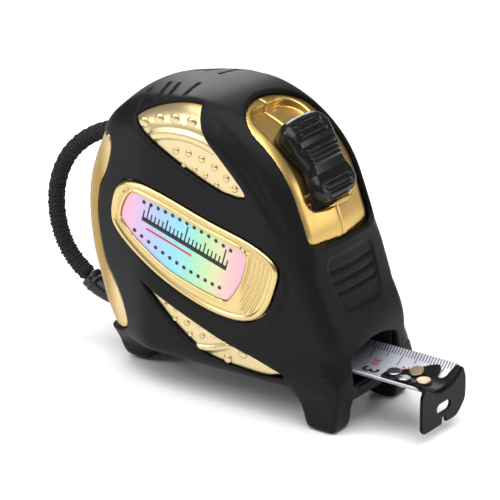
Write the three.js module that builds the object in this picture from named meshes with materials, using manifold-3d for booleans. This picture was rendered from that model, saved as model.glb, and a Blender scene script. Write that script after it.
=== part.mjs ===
// Pocket tape measure with a moulded case, lock slider, wound blade, end hook and hand strap.
// Millimetres. +X is the way the blade pulls out, +Y the side the case screws enter, +Z up.
// The working frame has the reel axis at x = 0 and the ground at z = 0; the finished group is then
// shifted along X so that its origin is the bottom centre of the object without its strap.
import * as THREE from 'three';
import { mergeVertices } from 'three/addons/utils/BufferGeometryUtils.js';
import Module from 'manifold-3d';

const wasm = await Module();
wasm.setup();

// ---- driving dimensions ----
const CLEAR = 0.3; // gap left between neighbouring pieces
const HALF_WIDTH = 24; // case, from the mid-plane to its side
const REEL_Z = 52; // reel axis above the ground
const FRONT_R = 41.4; // front of the case, round FRONT_X, REEL_Z, which the lock slider follows
const FRONT_X = 4;
const NOSE_X = 56; // front of the case at the mouth
const BELLY_Z = 8.8; // underside of the case between its feet
const COVER_T = 2.1; // rubber skin
const SHELL_IN = COVER_T + CLEAR; // shell's outer face, in from the outline
const WALL = 2.2; // shell wall
const EDGE_T = 8; // rounded edge of the side faces
const BAND_HALF = 11; // bare shell band at the back

const LEG_IN = 12.4; // front legs, from the mid-plane
const LEG_OUT = 20.3;
const LEG_BACK = 42.5;
const LEG_FRONT = 54.4;

const ZERO_X = 79.5; // inner face of the end hook's plate, where the scale starts
const BLADE_W = 25; // flat width of the blade
const BLADE_R = 15.5; // radius of its hollow section
const BLADE_T = 0.3;
const BLADE_EDGE_Z = 18.3;
const HOOK_PLAY = 1.1; // the end hook slides by its own thickness
const HOOK_T = 0.9;
const HOOK_HALF = 12;
const HOOK_BOTTOM = 3.5;
const RIVET_R = 1.3;
const BLADE_TAIL = 5; // where the straight blade leaves the coil
const MOUTH_TOP = 27;
const MOUTH_HALF = 13.2;
const CHANNEL_Z = 12.9; // floor that the blade runs over

const COIL_R = 33;
const DRUM_R = 21.3; // inside of the coil
const COIL_HALF = 12.5;
const POST_R = 3;
const STRAP_PIN = [-33.7, 69.4]; // x and z of the pin that holds the strap's upper end
const PIN_R = 1.2;
const PIVOT = [37, 45.5]; // brake arm's pivot, x and z

// ---- finishes ----
function finish(color, roughness, metalness) {
  return new THREE.MeshStandardMaterial({ color, roughness, metalness });
}
const gold = finish(0xcfaa55, 0.34, 0.9);
const rubber = finish(0x303032, 0.75, 0);
const blackPlastic = finish(0x1c1c1e, 0.45, 0);
const blackSteel = finish(0x151516, 0.4, 0.5);
const steel = finish(0xb9b9b4, 0.3, 1);
const bronze = finish(0xb59b62, 0.35, 1);
const bladeFinish = finish(0xc9ccd6, 0.35, 0.2);
const foil = finish(0xa5d8dc, 0.3, 0.5);
const webbing = finish(0x141414, 0.95, 0);

// ---- solids ----
function solidOf(geometry) {
  const bare = geometry.index ? geometry.toNonIndexed() : geometry.clone();
  bare.deleteAttribute('normal');
  bare.deleteAttribute('uv');
  const merged = mergeVertices(bare, 1e-4);
  return new wasm.Manifold(new wasm.Mesh({
    numProp: 3,
    vertProperties: new Float32Array(merged.attributes.position.array),
    triVerts: new Uint32Array(merged.index.array),
  }));
}

function geometryOf(solid) {
  const data = solid.getMesh();
  const geometry = new THREE.BufferGeometry();
  geometry.setAttribute('position', new THREE.BufferAttribute(data.vertProperties, 3));
  geometry.setIndex(new THREE.BufferAttribute(data.triVerts, 1));
  return geometry;
}

function box(low, high) {
  const size = high.map((value, i) => value - low[i]);
  const geometry = new THREE.BoxGeometry(...size);
  geometry.translate(...low.map((value, i) => value + size[i] / 2));
  return solidOf(geometry);
}

function shapeOf(points) {
  return new THREE.Shape(points.map(([x, y]) => new THREE.Vector2(x, y)));
}

// A side outline (x, z) between two y values.
function sideSlab(points, yLow, yHigh, options = {}) {
  const geometry = new THREE.ExtrudeGeometry(shapeOf(points), {
    depth: yHigh - yLow, bevelEnabled: false, ...options,
  });
  geometry.rotateX(Math.PI / 2);
  geometry.translate(0, yHigh, 0);
  return solidOf(geometry);
}

// A plan outline (x, y) between two heights.
function planSlab(points, zLow, zHigh) {
  const geometry = new THREE.ExtrudeGeometry(shapeOf(points), { depth: zHigh - zLow, bevelEnabled: false });
  geometry.translate(0, 0, zLow);
  return solidOf(geometry);
}

// A front outline (y, z) between two x values.
function frontSlab(points, xLow, xHigh) {
  const geometry = new THREE.ExtrudeGeometry(shapeOf(points), { depth: xHigh - xLow, bevelEnabled: false });
  geometry.rotateX(Math.PI / 2);
  geometry.rotateZ(Math.PI / 2);
  geometry.translate(xLow, 0, 0);
  return solidOf(geometry);
}

// A turned piece about the Y axis through x, z; its profile is (radius, y).
function turnedY(profile, x, z, sides = 40) {
  const geometry = new THREE.LatheGeometry(profile.map(([r, y]) => new THREE.Vector2(r, y)), sides);
  geometry.translate(x, 0, z);
  return solidOf(geometry);
}

// A turned piece about a vertical axis; its profile is (radius, z).
function turnedZ(profile, x, y, sides = 16) {
  const geometry = new THREE.LatheGeometry(profile.map(([r, z]) => new THREE.Vector2(r, z)), sides);
  geometry.rotateX(Math.PI / 2);
  geometry.translate(x, y, 0);
  return solidOf(geometry);
}

function rodY(radius, x, z, yLow, yHigh, sides = 20) {
  return turnedY([[0, yLow], [radius, yLow], [radius, yHigh], [0, yHigh]], x, z, sides);
}

function ringY(inner, outer, x, z, yLow, yHigh, sides = 40) {
  return turnedY([[inner, yLow], [outer, yLow], [outer, yHigh], [inner, yHigh], [inner, yLow]], x, z, sides);
}

function arc(cx, cz, radius, from, to, steps) {
  return Array.from({ length: steps + 1 }, (_, i) => {
    const angle = THREE.MathUtils.degToRad(from + (to - from) * i / steps);
    return [cx + radius * Math.cos(angle), cz + radius * Math.sin(angle)];
  });
}

// Points round the lock slider's own centre: pairs of (degrees, radius).
function polar(pairs) {
  return pairs.flatMap(([angle, radius]) => arc(FRONT_X, REEL_Z, radius, angle, angle, 1).slice(1));
}

function joined(solids) {
  return solids.reduce((sum, solid) => sum.add(solid));
}

function cut(solid, tools) {
  return tools.reduce((rest, tool) => rest.subtract(tool), solid);
}

function mirroredY(solid) {
  return solid.mirror([0, 1, 0]);
}

const group = new THREE.Group();
const cordNames = ['hand_strap', 'strap_ferrule'];

function add(name, solid, material) {
  const mesh = new THREE.Mesh(geometryOf(solid), material);
  mesh.name = name;
  group.add(mesh);
}

// The left piece is the -Y one; the right piece is its mirror image, with its own extra cuts.
function addPair(name, leftSolid, material, rightCuts = []) {
  add(`left_${name}`, leftSolid, material);
  add(`right_${name}`, cut(mirroredY(leftSolid), rightCuts), material);
}

// ---- case outline ----
const backProfile = [ // degrees and radius round the reel, over the shoulder and down the back
  [93, 42], [103, 43], [113, 44.5], [124, 45.4], [136, 45], [148, 44.1], [160, 43.6], [171, 43.7], [180, 44],
];
const sideOutline = [
  [NOSE_X - 0.5, BELLY_Z], [NOSE_X, 24], [54.2, 31.5], [50, 40.6], [47.6, 48],
  ...arc(FRONT_X, REEL_Z, FRONT_R, 0, 85, 10),
  ...backProfile.map(([angle, radius]) => arc(0.5, REEL_Z, radius, angle, angle, 1)[0]),
  [-43.4, 40], [-41, 28], [-37, 18], [-32, BELLY_Z],
];
const planHalf = [[-45, 10], [-40, 14.5], [-32, 20.5], [-24, HALF_WIDTH], [37, HALF_WIDTH], [57, LEG_OUT]];

// The case body drawn in by some distance, with its rounded side edges.
function caseBody(inset) {
  const side = sideSlab(sideOutline, -HALF_WIDTH + inset + EDGE_T, HALF_WIDTH - inset - EDGE_T, {
    bevelEnabled: true, bevelThickness: EDGE_T, bevelSize: EDGE_T, bevelSegments: 3,
    bevelOffset: -EDGE_T - inset,
  });
  const half = planHalf.map(([x, y]) => [x, y - inset]);
  const plan = [...half.map(([x, y]) => [x, -y]), ...[...half].reverse()];
  return side.intersect(planSlab(plan, -1, 100));
}
const caseOuter = caseBody(0);
const leftSide = box([-70, -40, -5], [90, -CLEAR / 2, 110]);
const rearBox = (grow) => box(
  [-60, -BAND_HALF - grow, 20 - grow], [-35 + grow, BAND_HALF + grow, 78 + grow],
);

// ---- windows in the rubber covers, as side outlines ----
const upperWindow = [
  [-17.5, 86.5], [-12, 89.4], [5, 90], [7, 86.5], [13.6, 81], [23, 70.5], [13.5, 70.5], [3.6, 74], [-6.4, 78.6],
];
const badgeOutline = [
  [-26.8, 55.5], [-24.8, 62.8], [-20.9, 66], [-12.2, 66], [10.2, 60.1], [25.2, 56.6], [33.2, 53],
  [35.8, 49.2], [34.7, 43.1], [31.5, 35.5], [26.7, 31.1], [19.3, 29.5], [7.8, 30.9], [-6.9, 36.2],
  [-18.6, 43.3], [-25.8, 50.2],
];
const lowerWindow = [
  [-12.5, 32], [3.6, 25.6], [19.7, 22.1], [35, 16.8], [21.5, 15.8], [9.2, 16], [2.4, 18.7], [-4.7, 23.5],
];
const labelOutline = [
  [-18.7, 61.5], [-21.8, 53.2], [-14.8, 46.6], [-5, 41], [7.8, 37.4], [17.2, 36], [22.4, 44.5],
  [23.5, 51.2], [9.5, 55.2], [-12, 61.2],
];
const centred = (points) => {
  const centre = points.reduce((sum, [x, z]) => [sum[0] + x, sum[1] + z], [0, 0]).map((v) => v / points.length);
  return centre;
};
// The outline drawn in (or out, if negative) by about a distance, towards its own centre.
function drawnIn(points, distance) {
  const [cx, cz] = centred(points);
  return points.map(([x, z]) => {
    const reach = Math.hypot(x - cx, z - cz);
    return [cx + (x - cx) * (1 - distance / reach), cz + (z - cz) * (1 - distance / reach)];
  });
}

// ---- lock slider's window and slot, on the case's front and top ----
const SLIDER_HALF = 9.3;
const WINDOW_HALF = 11.4;
const windowSector = [
  ...arc(FRONT_X, REEL_Z, 50, 4, 74, 7), ...arc(FRONT_X, REEL_Z, 34, 74, 4, 7),
];
const sliderSlot = [
  ...arc(FRONT_X, REEL_Z, 46, 26, 54, 4), ...arc(FRONT_X, REEL_Z, 33, 54, 26, 4),
];

// ---- feet ----
const legOutline = [
  [LEG_BACK - 1, 12], [LEG_BACK + 0.5, 1], [LEG_BACK + 1.5, 0], [LEG_FRONT - 1, 0], [LEG_FRONT, 1],
  [NOSE_X - 0.5, 12],
];
const rearFootOutline = [[-37, 19], [-34, 8], [-31.4, 1], [-30, 0], [-25, 0], [-23.5, 1], [-17, 9], [-17, 12]];
const leg = sideSlab(legOutline, -LEG_OUT, -LEG_IN);
const rearFoot = sideSlab(rearFootOutline, -9, 9);

// ---- mouth and blade channel, through covers and shells ----
const mouthHole = box([40, -MOUTH_HALF, CHANNEL_Z], [60, MOUTH_HALF, MOUTH_TOP]);
const channel = box([-20, -MOUTH_HALF, CHANNEL_Z], [NOSE_X - 4, MOUTH_HALF, 22]);
const rivetGroove = box([36, -7, CHANNEL_Z - 1], [60, 7, CHANNEL_Z + 1]); // lets the rivets' tails run in

// ---- strap holes at the back ----
const strapHole = (grow) => [
  box([-50, -3.2 - grow, 68 - grow], [-34, 3.2 + grow, 74 + grow]),
  box([-50, -3.7 - grow, 12 - grow], [-33, 3.7 + grow, 17.6 + grow]),
];

// ---- screws: x and z of the four bosses ----
const screwPlaces = [[-26.6, 25], [-26.6, 78.6], [8.5, 88.9], [46.5, 36]];
const SCREW_R = 1.25;
const SCREW_HEAD_R = 2.6;
const SCREW_TIP = -16.5;
const SCREW_SEAT = 16.8;

function coverBody() {
  const outer = joined([caseOuter, leg, mirroredY(leg), rearFoot]);
  return cut(outer, [
    caseBody(COVER_T), rearBox(CLEAR), mouthHole, rivetGroove,
    ...[upperWindow, badgeOutline, lowerWindow].map((points) => sideSlab(points, -30, -14)),
    sideSlab(windowSector, -WINDOW_HALF, WINDOW_HALF),
    ...strapHole(CLEAR), box([NOSE_X - 2.4, -12, 5], [60, 12, 13.2]),
  ]);
}

function shellBody() {
  const outer = caseBody(SHELL_IN).add(caseBody(CLEAR).intersect(rearBox(0)));
  const hollow = cut(outer, [caseBody(SHELL_IN + WALL), channel, mouthHole, rivetGroove]);
  const bosses = screwPlaces.map(([x, z]) => rodY(SCREW_R + 1.7, x, z, -21, 0, 14));
  const pivotBoss = rodY(2.9, ...PIVOT, -21, -9.4, 14);
  const postBoss = rodY(POST_R + 2.2, 0, REEL_Z, -21, -17.8, 20);
  const strapLug = box([-42, -8.8, 66.6], [-31.4, -5.2, 72]);
  const whole = joined([hollow, ...bosses, pivotBoss, postBoss, strapLug]).intersect(outer);
  return cut(whole.intersect(leftSide), [
    ...screwPlaces.map(([x, z]) => rodY(SCREW_R + CLEAR, x, z, -19, 1, 12)),
    rodY(1.5 + CLEAR, ...PIVOT, -19.3, 0, 14),
    rodY(POST_R + CLEAR, 0, REEL_Z, -20.3, 0, 20),
    sideSlab(sliderSlot, -5.6, 5.6),
    rodY(PIN_R + CLEAR, ...STRAP_PIN, -12, 0, 14),
    ...strapHole(0),
  ]);
}

addPair('cover', coverBody().intersect(leftSide), rubber,
  screwPlaces.map(([x, z]) => rodY(SCREW_HEAD_R + CLEAR, x, z, SCREW_SEAT, 30, 14)));
addPair('shell', shellBody(), gold, screwPlaces.flatMap(([x, z]) => [
  rodY(SCREW_HEAD_R + CLEAR, x, z, SCREW_SEAT, 30, 14), rodY(SCREW_R + CLEAR, x, z, -1, 30, 12),
]));

// ---- badges and their printed labels, one pair on each side ----
const badgeBack = -(HALF_WIDTH - SHELL_IN + CLEAR);
const badgeFace = -(HALF_WIDTH - 0.4);
const labelSeat = badgeFace + 0.8;
addPair('badge', cut(sideSlab(drawnIn(badgeOutline, 0.7), badgeFace, badgeBack), [
  sideSlab(drawnIn(labelOutline, -0.5), badgeFace - 1, labelSeat),
  ...[26, 28, 30].map((x) => sideSlab(
    [[x, 37], [x + 0.8, 37], [x + 1.8, 52], [x + 1, 52]], badgeFace - 1, badgeFace + 0.6,
  )),
]), gold);
addPair('label', sideSlab(labelOutline, labelSeat - CLEAR - 0.4, labelSeat - CLEAR), foil);

// ---- lock slider, its trim plate and its detent spring ----
const sliderOutline = polar([
  [22, 40.2], [22.2, 42.4], [27, 42.9], [33, 43.3], [36.5, 44], [44, 45.2], [50, 46.2], [56, 46.8],
  [59.4, 46.4], [60.6, 44], [60, 40.2], [51, 40.2], [41, 40.2], [31, 40.2],
]);
const footOutline = polar([[30, 41], [37, 41], [37, 35.8], [30, 35.8]]);
const padGrooves = [23.8, 26.6, 29.4, 47.5, 50.5, 53.5].map((angle) => {
  const top = angle < 40 ? 42.9 : 46.3;
  return sideSlab(polar([[angle, top + 1], [angle, top - 1], [angle + 1.3, top - 1], [angle + 1.3, top + 1]]),
    -SLIDER_HALF + 2, SLIDER_HALF - 2);
});
const sliderBlock = sideSlab(sliderOutline, -SLIDER_HALF + 1.5, SLIDER_HALF - 1.5, {
  bevelEnabled: true, bevelThickness: 1.5, bevelSize: 1, bevelSegments: 2, bevelOffset: -1,
});
add('lock_slider', cut(sliderBlock.add(sideSlab(footOutline, -4, 4)), padGrooves), blackPlastic);
add('slider_trim', sideSlab(polar([
  [16.5, 40.2], [16.5, 40.9], [21, 41.3], [21.2, 40.2],
]), -SLIDER_HALF, SLIDER_HALF), gold);
add('detent_spring', sideSlab([
  ...arc(FRONT_X, REEL_Z, 36.4, 53, 68, 5), ...arc(FRONT_X, REEL_Z, 35.9, 68, 53, 5),
], -4, 4), steel);

// ---- brake ----
const armOutline = [
  [32.8, 68.6], [34.8, 68.4], [38.1, 62], [39, 54], [38.6, 44], [36.8, 32], [31.5, 21], [28.4, 21],
  [34, 33], [35.2, 44], [36.4, 54], [36, 61.5],
];
add('brake_arm', cut(sideSlab(armOutline, -6, 6).add(rodY(2.7, ...PIVOT, -6, 6, 18)), [
  rodY(1.5 + CLEAR, ...PIVOT, -8, 8, 14),
]), blackPlastic);
add('brake_pin', rodY(1.5, ...PIVOT, -18.8, 18.8, 14), steel);
const bladeAxisZ = BLADE_EDGE_Z + BLADE_R * Math.cos(BLADE_W / 2 / BLADE_R);
const padUnder = arc(0, bladeAxisZ, BLADE_R - BLADE_T - CLEAR - 0.2, -113, -67, 6);
add('brake_pad', frontSlab([...padUnder, [6.2, 20.7], [-6.2, 20.7]], 25, 33), rubber);

// ---- blade, coil and reel ----
const bladeHalfAngle = THREE.MathUtils.radToDeg(BLADE_W / 2 / BLADE_R);
const bladeEnd = ZERO_X - HOOK_PLAY - CLEAR;
const bladeStrip = frontSlab([
  ...arc(0, bladeAxisZ, BLADE_R, -90 - bladeHalfAngle, -90 + bladeHalfAngle, 14),
  ...arc(0, bladeAxisZ, BLADE_R - BLADE_T, -90 + bladeHalfAngle, -90 - bladeHalfAngle, 14),
], BLADE_TAIL, bladeEnd);
const rivetPlaces = [[67.8, 4.2], [72.8, 0.4], [61.9, 0.8], [66.9, -1.7]];
const holesFor = (radius, stretch) => rivetPlaces.map(([x, y]) => box(
  [x - radius - stretch, y - radius, 8], [x + radius + stretch, y + radius, 24],
));
const rivetHoles = rivetPlaces.map(([x, y]) => turnedZ(
  [[0, 8], [RIVET_R + CLEAR, 8], [RIVET_R + CLEAR, 24], [0, 24]], x, y, 12,
));
add('blade', cut(bladeStrip, rivetHoles), bladeFinish);

// ---- end hook: a plate, a bend and a wing that lies in the blade's hollow ----
const plateOutline = [
  [-HOOK_HALF, 6], [-HOOK_HALF + 2.2, HOOK_BOTTOM], [-1.2, HOOK_BOTTOM], [0, HOOK_BOTTOM + 2.6],
  [1.2, HOOK_BOTTOM], [7.5, HOOK_BOTTOM], [HOOK_HALF, 7.4], [HOOK_HALF, 15.2], [10.4, 17.6],
  ...arc(0, bladeAxisZ, BLADE_R - BLADE_T - CLEAR - HOOK_T, -50, -130, 10),
  [-10.4, 17.6], [-HOOK_HALF, 15.6],
];
const hookSlot = sideSlab([[0, 0], [1, 0], [1, 1], [0, 1]], 0, 1).scale([4, 5.4, 3])
  .translate([ZERO_X - 2, -2.7, 7.6]);
const wingRadius = BLADE_R - BLADE_T - CLEAR;
const wingFull = frontSlab([
  ...arc(0, bladeAxisZ, wingRadius, -136, -44, 12),
  ...arc(0, bladeAxisZ, wingRadius - HOOK_T, -44, -136, 12),
], ZERO_X - 19.5, ZERO_X + HOOK_T);
const wingPlan = planSlab([
  [ZERO_X + 1, -11], [ZERO_X - 4, -10.8], [ZERO_X - 12, -8.4], [ZERO_X - 19.5, -3.4], [ZERO_X - 19.5, 2.6],
  [ZERO_X - 12, 7.4], [ZERO_X - 5.5, 8.2], [ZERO_X - 5, 4.8], [ZERO_X - 2.2, 4.8], [ZERO_X - 1.6, 10.6],
  [ZERO_X + 1, 11],
], 0, 30);
const hookPlate = frontSlab(plateOutline, ZERO_X, ZERO_X + HOOK_T);
add('end_hook', cut(hookPlate.add(wingFull.intersect(wingPlan)), [
  hookSlot, ...holesFor(RIVET_R + CLEAR, HOOK_PLAY),
]), blackSteel);

// Each rivet's head sits above the wing and its tail below the blade, at the heights found there.
rivetPlaces.forEach(([x, y], i) => {
  const under = bladeAxisZ - Math.sqrt(BLADE_R ** 2 - y ** 2);
  const slope = Math.abs(y) * 0.19;
  const low = under - CLEAR - slope;
  const high = under + BLADE_T + CLEAR + HOOK_T + CLEAR + slope + 0.2;
  const headR = 2.3;
  add(`hook_rivet_${i + 1}`, turnedZ([
    [0, low - 0.6], [1.9, low - 0.6], [1.9, low], [RIVET_R, low], [RIVET_R, high], [headR, high],
    [headR, high + 0.5], [headR - 0.7, high + 0.9], [0, high + 1],
  ], x, y, 12), i < 2 ? bronze : steel);
});

add('blade_coil', ringY(DRUM_R + CLEAR, COIL_R, 0, REEL_Z, -COIL_HALF, COIL_HALF, 48), bladeFinish);
add('reel_drum', turnedY([
  [POST_R + 0.4, -COIL_HALF - 1.8], [COIL_R + 1.2, -COIL_HALF - 1.8], [COIL_R + 1.2, -COIL_HALF - 0.6],
  [DRUM_R, -COIL_HALF - 0.6], [DRUM_R, COIL_HALF], [DRUM_R - 1.8, COIL_HALF],
  [DRUM_R - 1.8, -COIL_HALF + 1.8], [POST_R + 0.4, -COIL_HALF + 1.8], [POST_R + 0.4, -COIL_HALF - 1.8],
], 0, REEL_Z, 48), blackPlastic);
add('reel_flange', ringY(POST_R + 3, COIL_R + 1.2, 0, REEL_Z, COIL_HALF + 0.6, COIL_HALF + 1.8, 48), blackPlastic);

// The power spring is a spiral strip from the post's slot to the drum's wall.
function springOutline(turns, inner, outer, thickness) {
  const steps = 22 * turns;
  const line = (offset) => Array.from({ length: steps + 1 }, (_, i) => {
    const angle = 2 * Math.PI * turns * i / steps;
    const radius = inner + (outer - inner) * i / steps + offset;
    return [radius * Math.cos(angle), REEL_Z + radius * Math.sin(angle)];
  });
  return [...line(thickness), ...line(0).reverse()];
}
add('power_spring', sideSlab(springOutline(5, 5.6, DRUM_R - 3, 1.1), -COIL_HALF + 2.2, COIL_HALF - 1), steel);
add('axle_post', rodY(POST_R, 0, REEL_Z, -19.9, 19.9, 24), steel);
[-1, 1].forEach((side) => {
  const [from, to] = side < 0 ? [-17.4, -14.7] : [14.7, 17.4];
  add(side < 0 ? 'left_reel_bush' : 'right_reel_bush',
    ringY(POST_R + CLEAR, POST_R + 2.4, 0, REEL_Z, from, to, 24), blackPlastic);
});

// ---- mouth fittings ----
add('mouth_bumper', box([NOSE_X - 2, -11.6, 9], [NOSE_X - 0.3, 11.6, CHANNEL_Z - 1]), rubber);
add('mouth_guide', box([44, -12.6, 23.4], [51.2, 12.6, 26.4]), blackPlastic);

// ---- case screws, driven in from the right ----
screwPlaces.forEach(([x, z], i) => {
  add(`case_screw_${i + 1}`, turnedY([
    [0, SCREW_TIP], [SCREW_R, SCREW_TIP], [SCREW_R, SCREW_SEAT + 0.3], [SCREW_HEAD_R, SCREW_SEAT + 0.3],
    [SCREW_HEAD_R, SCREW_SEAT + 1.6], [1, SCREW_SEAT + 1.6], [0, SCREW_SEAT + 1],
  ], x, z, 12), steel);
});

// ---- hand strap: a woven cord in a loop, its upper end held by a pin, its lower end in a ferrule ----
const STRAP_W = 5.6;
const STRAP_T = 5.2;
const FERRULE_HALF = 3.3;
const strapRoute = [
  [-35.4, 71], [-40, 71.2], [-44.6, 70.4], [-49.4, 68.2], [-55, 64.4], [-60, 59.2], [-63.6, 53], [-65.6, 46],
  [-65.8, 39], [-64.6, 32.8], [-62, 27.2], [-58.2, 22.8], [-53.6, 19.6],
].map(([x, z]) => new THREE.Vector3(x, 0, z));
const strapCurve = new THREE.CatmullRomCurve3(strapRoute, false, 'centripetal');
const strapSection = new THREE.Shape();
strapSection.absellipse(0, 0, STRAP_W / 2, STRAP_T / 2, 0, 2 * Math.PI);
const strapGeometry = new THREE.ExtrudeGeometry(strapSection, {
  steps: 30, curveSegments: 10, extrudePath: strapCurve,
});
add('hand_strap', solidOf(strapGeometry), webbing);
add('strap_ferrule', sideSlab([
  [-51.4, 21.3], [-53.3, 19.2], [-54.6, 16.8], [-49.5, 13.9], [-43, 12.4], [-34, 12.4], [-34, 17.2], [-42, 17.4],
  [-47.4, 19],
], -FERRULE_HALF, FERRULE_HALF), blackPlastic);
add('strap_pin', rodY(PIN_R, ...STRAP_PIN, -8.4, 8.4, 14), steel);

// ---- origin: bottom centre of everything but the strap ----
const bounds = new THREE.Box3();
group.children.filter((mesh) => !cordNames.includes(mesh.name)).forEach((mesh) => bounds.expandByObject(mesh));
const centre = bounds.getCenter(new THREE.Vector3());
group.position.set(-centre.x, -centre.y, -bounds.min.z);

export default group;
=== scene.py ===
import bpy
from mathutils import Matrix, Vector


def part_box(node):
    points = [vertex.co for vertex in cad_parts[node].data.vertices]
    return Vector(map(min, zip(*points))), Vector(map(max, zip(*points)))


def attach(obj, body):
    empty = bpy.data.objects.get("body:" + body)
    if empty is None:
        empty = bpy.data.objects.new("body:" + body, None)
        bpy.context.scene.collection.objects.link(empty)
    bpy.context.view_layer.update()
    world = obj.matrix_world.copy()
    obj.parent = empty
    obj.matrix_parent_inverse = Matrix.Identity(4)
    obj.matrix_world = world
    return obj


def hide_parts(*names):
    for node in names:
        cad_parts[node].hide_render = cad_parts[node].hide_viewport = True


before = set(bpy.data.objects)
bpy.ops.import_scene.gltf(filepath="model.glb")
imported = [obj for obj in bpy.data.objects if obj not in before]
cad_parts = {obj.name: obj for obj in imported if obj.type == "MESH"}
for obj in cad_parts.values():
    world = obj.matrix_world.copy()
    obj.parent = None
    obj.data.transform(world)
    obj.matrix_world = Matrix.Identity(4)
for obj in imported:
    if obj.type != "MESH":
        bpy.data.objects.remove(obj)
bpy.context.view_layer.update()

import functools
import math
import bmesh
import bpy
import numpy as np
from mathutils import Matrix, Vector

# Everything is worked out in the case's own frame: millimetres, x from the reel's axis, y from the
# mid-plane, z from the ground. toRow moves it into the row frame, in metres.
drumLow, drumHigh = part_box("reel_drum")
reelX = (drumLow.x + drumHigh.x) * 500
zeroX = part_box("end_hook")[1].x * 1000 - 0.9 - reelX  # inner face of the hook's plate
coarse = 1.0


def toRow(points):
    points = np.asarray(points, float)
    return (points + np.array([reelX, 0, 0])) / 1000


def addObject(name, data):
    piece = bpy.data.objects.new(name, data)
    bpy.context.scene.collection.objects.link(piece)
    return piece


# camera
view = dict(azimuth=35.53, elevation=22.23, lens=276.8, place=(0.62235, -0.88452, 0.48683))


def makeCamera():
    a, e = math.radians(view["azimuth"]), math.radians(view["elevation"])
    back = Vector((math.sin(a) * math.cos(e), -math.cos(a) * math.cos(e), math.sin(e)))
    camera = addObject("camera", bpy.data.cameras.new("camera"))
    camera.data.lens = view["lens"]
    camera.data.sensor_width = 36
    camera.data.clip_end = 20
    camera.location = view["place"]
    camera.rotation_euler = back.to_track_quat("Z", "Y").to_euler()
    bpy.context.scene.camera = camera


makeCamera()
print("camera placed")


# shader maths
class Socket:
    def __init__(self, tree, out):
        self.tree, self.out = tree, out

    def math(self, operation, first, second=None):
        node = self.tree.nodes.new("ShaderNodeMath")
        node.operation = operation
        for slot, value in zip(node.inputs, (first, second)):
            if isinstance(value, Socket):
                self.tree.links.new(value.out, slot)
            elif value is not None:
                slot.default_value = value
        return Socket(self.tree, node.outputs[0])

    def __add__(self, other): return self.math("ADD", self, other)
    def __radd__(self, other): return self.math("ADD", other, self)
    def __sub__(self, other): return self.math("SUBTRACT", self, other)
    def __rsub__(self, other): return self.math("SUBTRACT", other, self)
    def __mul__(self, other): return self.math("MULTIPLY", self, other)
    def __rmul__(self, other): return self.math("MULTIPLY", other, self)
    def __truediv__(self, other): return self.math("DIVIDE", self, other)

    def __getitem__(self, name):
        return Socket(self.tree, self.out.node.outputs[name])


class Nodes:
    def __init__(self, tree):
        self.tree = tree

    def node(self, kind, settings=None, sockets=None):
        made = self.tree.nodes.new(kind)
        for name, value in (settings or {}).items():
            if name == "stops":
                ramp = made.color_ramp
                while len(ramp.elements) < len(value):
                    ramp.elements.new(0.5)
                for element, (place, colour) in zip(ramp.elements, value):
                    element.position = place
                    element.color = (*colour, 1)
            else:
                setattr(made, name, value)
        for name, value in (sockets or {}).items():
            if isinstance(value, Socket):
                self.tree.links.new(value.out, made.inputs[name])
            else:
                made.inputs[name].default_value = value
        shown = [out for out in made.outputs if out.enabled] or list(made.outputs)
        return Socket(self.tree, shown[0]) if shown else None


class Finish(Nodes):
    def __init__(self, name, slot):
        self.material = bpy.data.materials.new(name)
        self.material.use_nodes = True
        self.slotName = slot
        super().__init__(self.material.node_tree)
        self.tree.nodes.clear()
        self.shader = self.tree.nodes.new("ShaderNodeBsdfPrincipled")
        self.node("ShaderNodeOutputMaterial", None, {"Surface": Socket(self.tree, self.shader.outputs[0])})

    def coords(self, scale=(1, 1, 1), turn=(0, 0, 0)):
        place = self.node("ShaderNodeTexCoord")["Object"]
        return self.node("ShaderNodeMapping", None, {"Vector": place, "Scale": scale, "Rotation": turn})

    def noise(self, scale, detail=3.0, where=None):
        return self.node("ShaderNodeTexNoise", None, {
            "Vector": where or self.coords(), "Scale": scale, "Detail": detail})["Fac"]

    def mix(self, amount, first, second):
        # a colour between two others, with the inputs of a Mix node set to colours
        first, second = ((*v, 1) if isinstance(v, tuple) else v for v in (first, second))
        made = self.node("ShaderNodeMix", {"data_type": "RGBA"}, {0: amount, 6: first, 7: second})
        return Socket(self.tree, made.out.node.outputs[2])

    def shades(self, amount, base, low, high):
        return self.mix(amount, tuple(v * low for v in base), tuple(min(1, v * high) for v in base))

    def set(self, **values):
        for name, value in values.items():
            slot = self.shader.inputs[name.replace("_", " ")]
            if isinstance(value, Socket):
                self.tree.links.new(value.out, slot)
            else:
                slot.default_value = (*value, 1) if isinstance(value, tuple) else value
        return self

    def bump(self, height, distance, strength=1.0):
        made = self.node("ShaderNodeBump", None, {
            "Height": height, "Distance": distance, "Strength": strength})
        return self.set(Normal=made["Normal"])


def makeRubber(name, base, rough):
    look = Finish(name, "rubber")
    grain = look.noise(2600, 2.0)
    cloud = look.noise(55, 3.0)
    look.set(Base_Color=look.shades(cloud, base, 0.82, 1.2), Specular_IOR_Level=0.13,
             Roughness=rough + (cloud - 0.5) * 0.12 + (grain - 0.5) * 0.1)
    look.bump(grain, 0.00006, 0.55)
    return look


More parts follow.
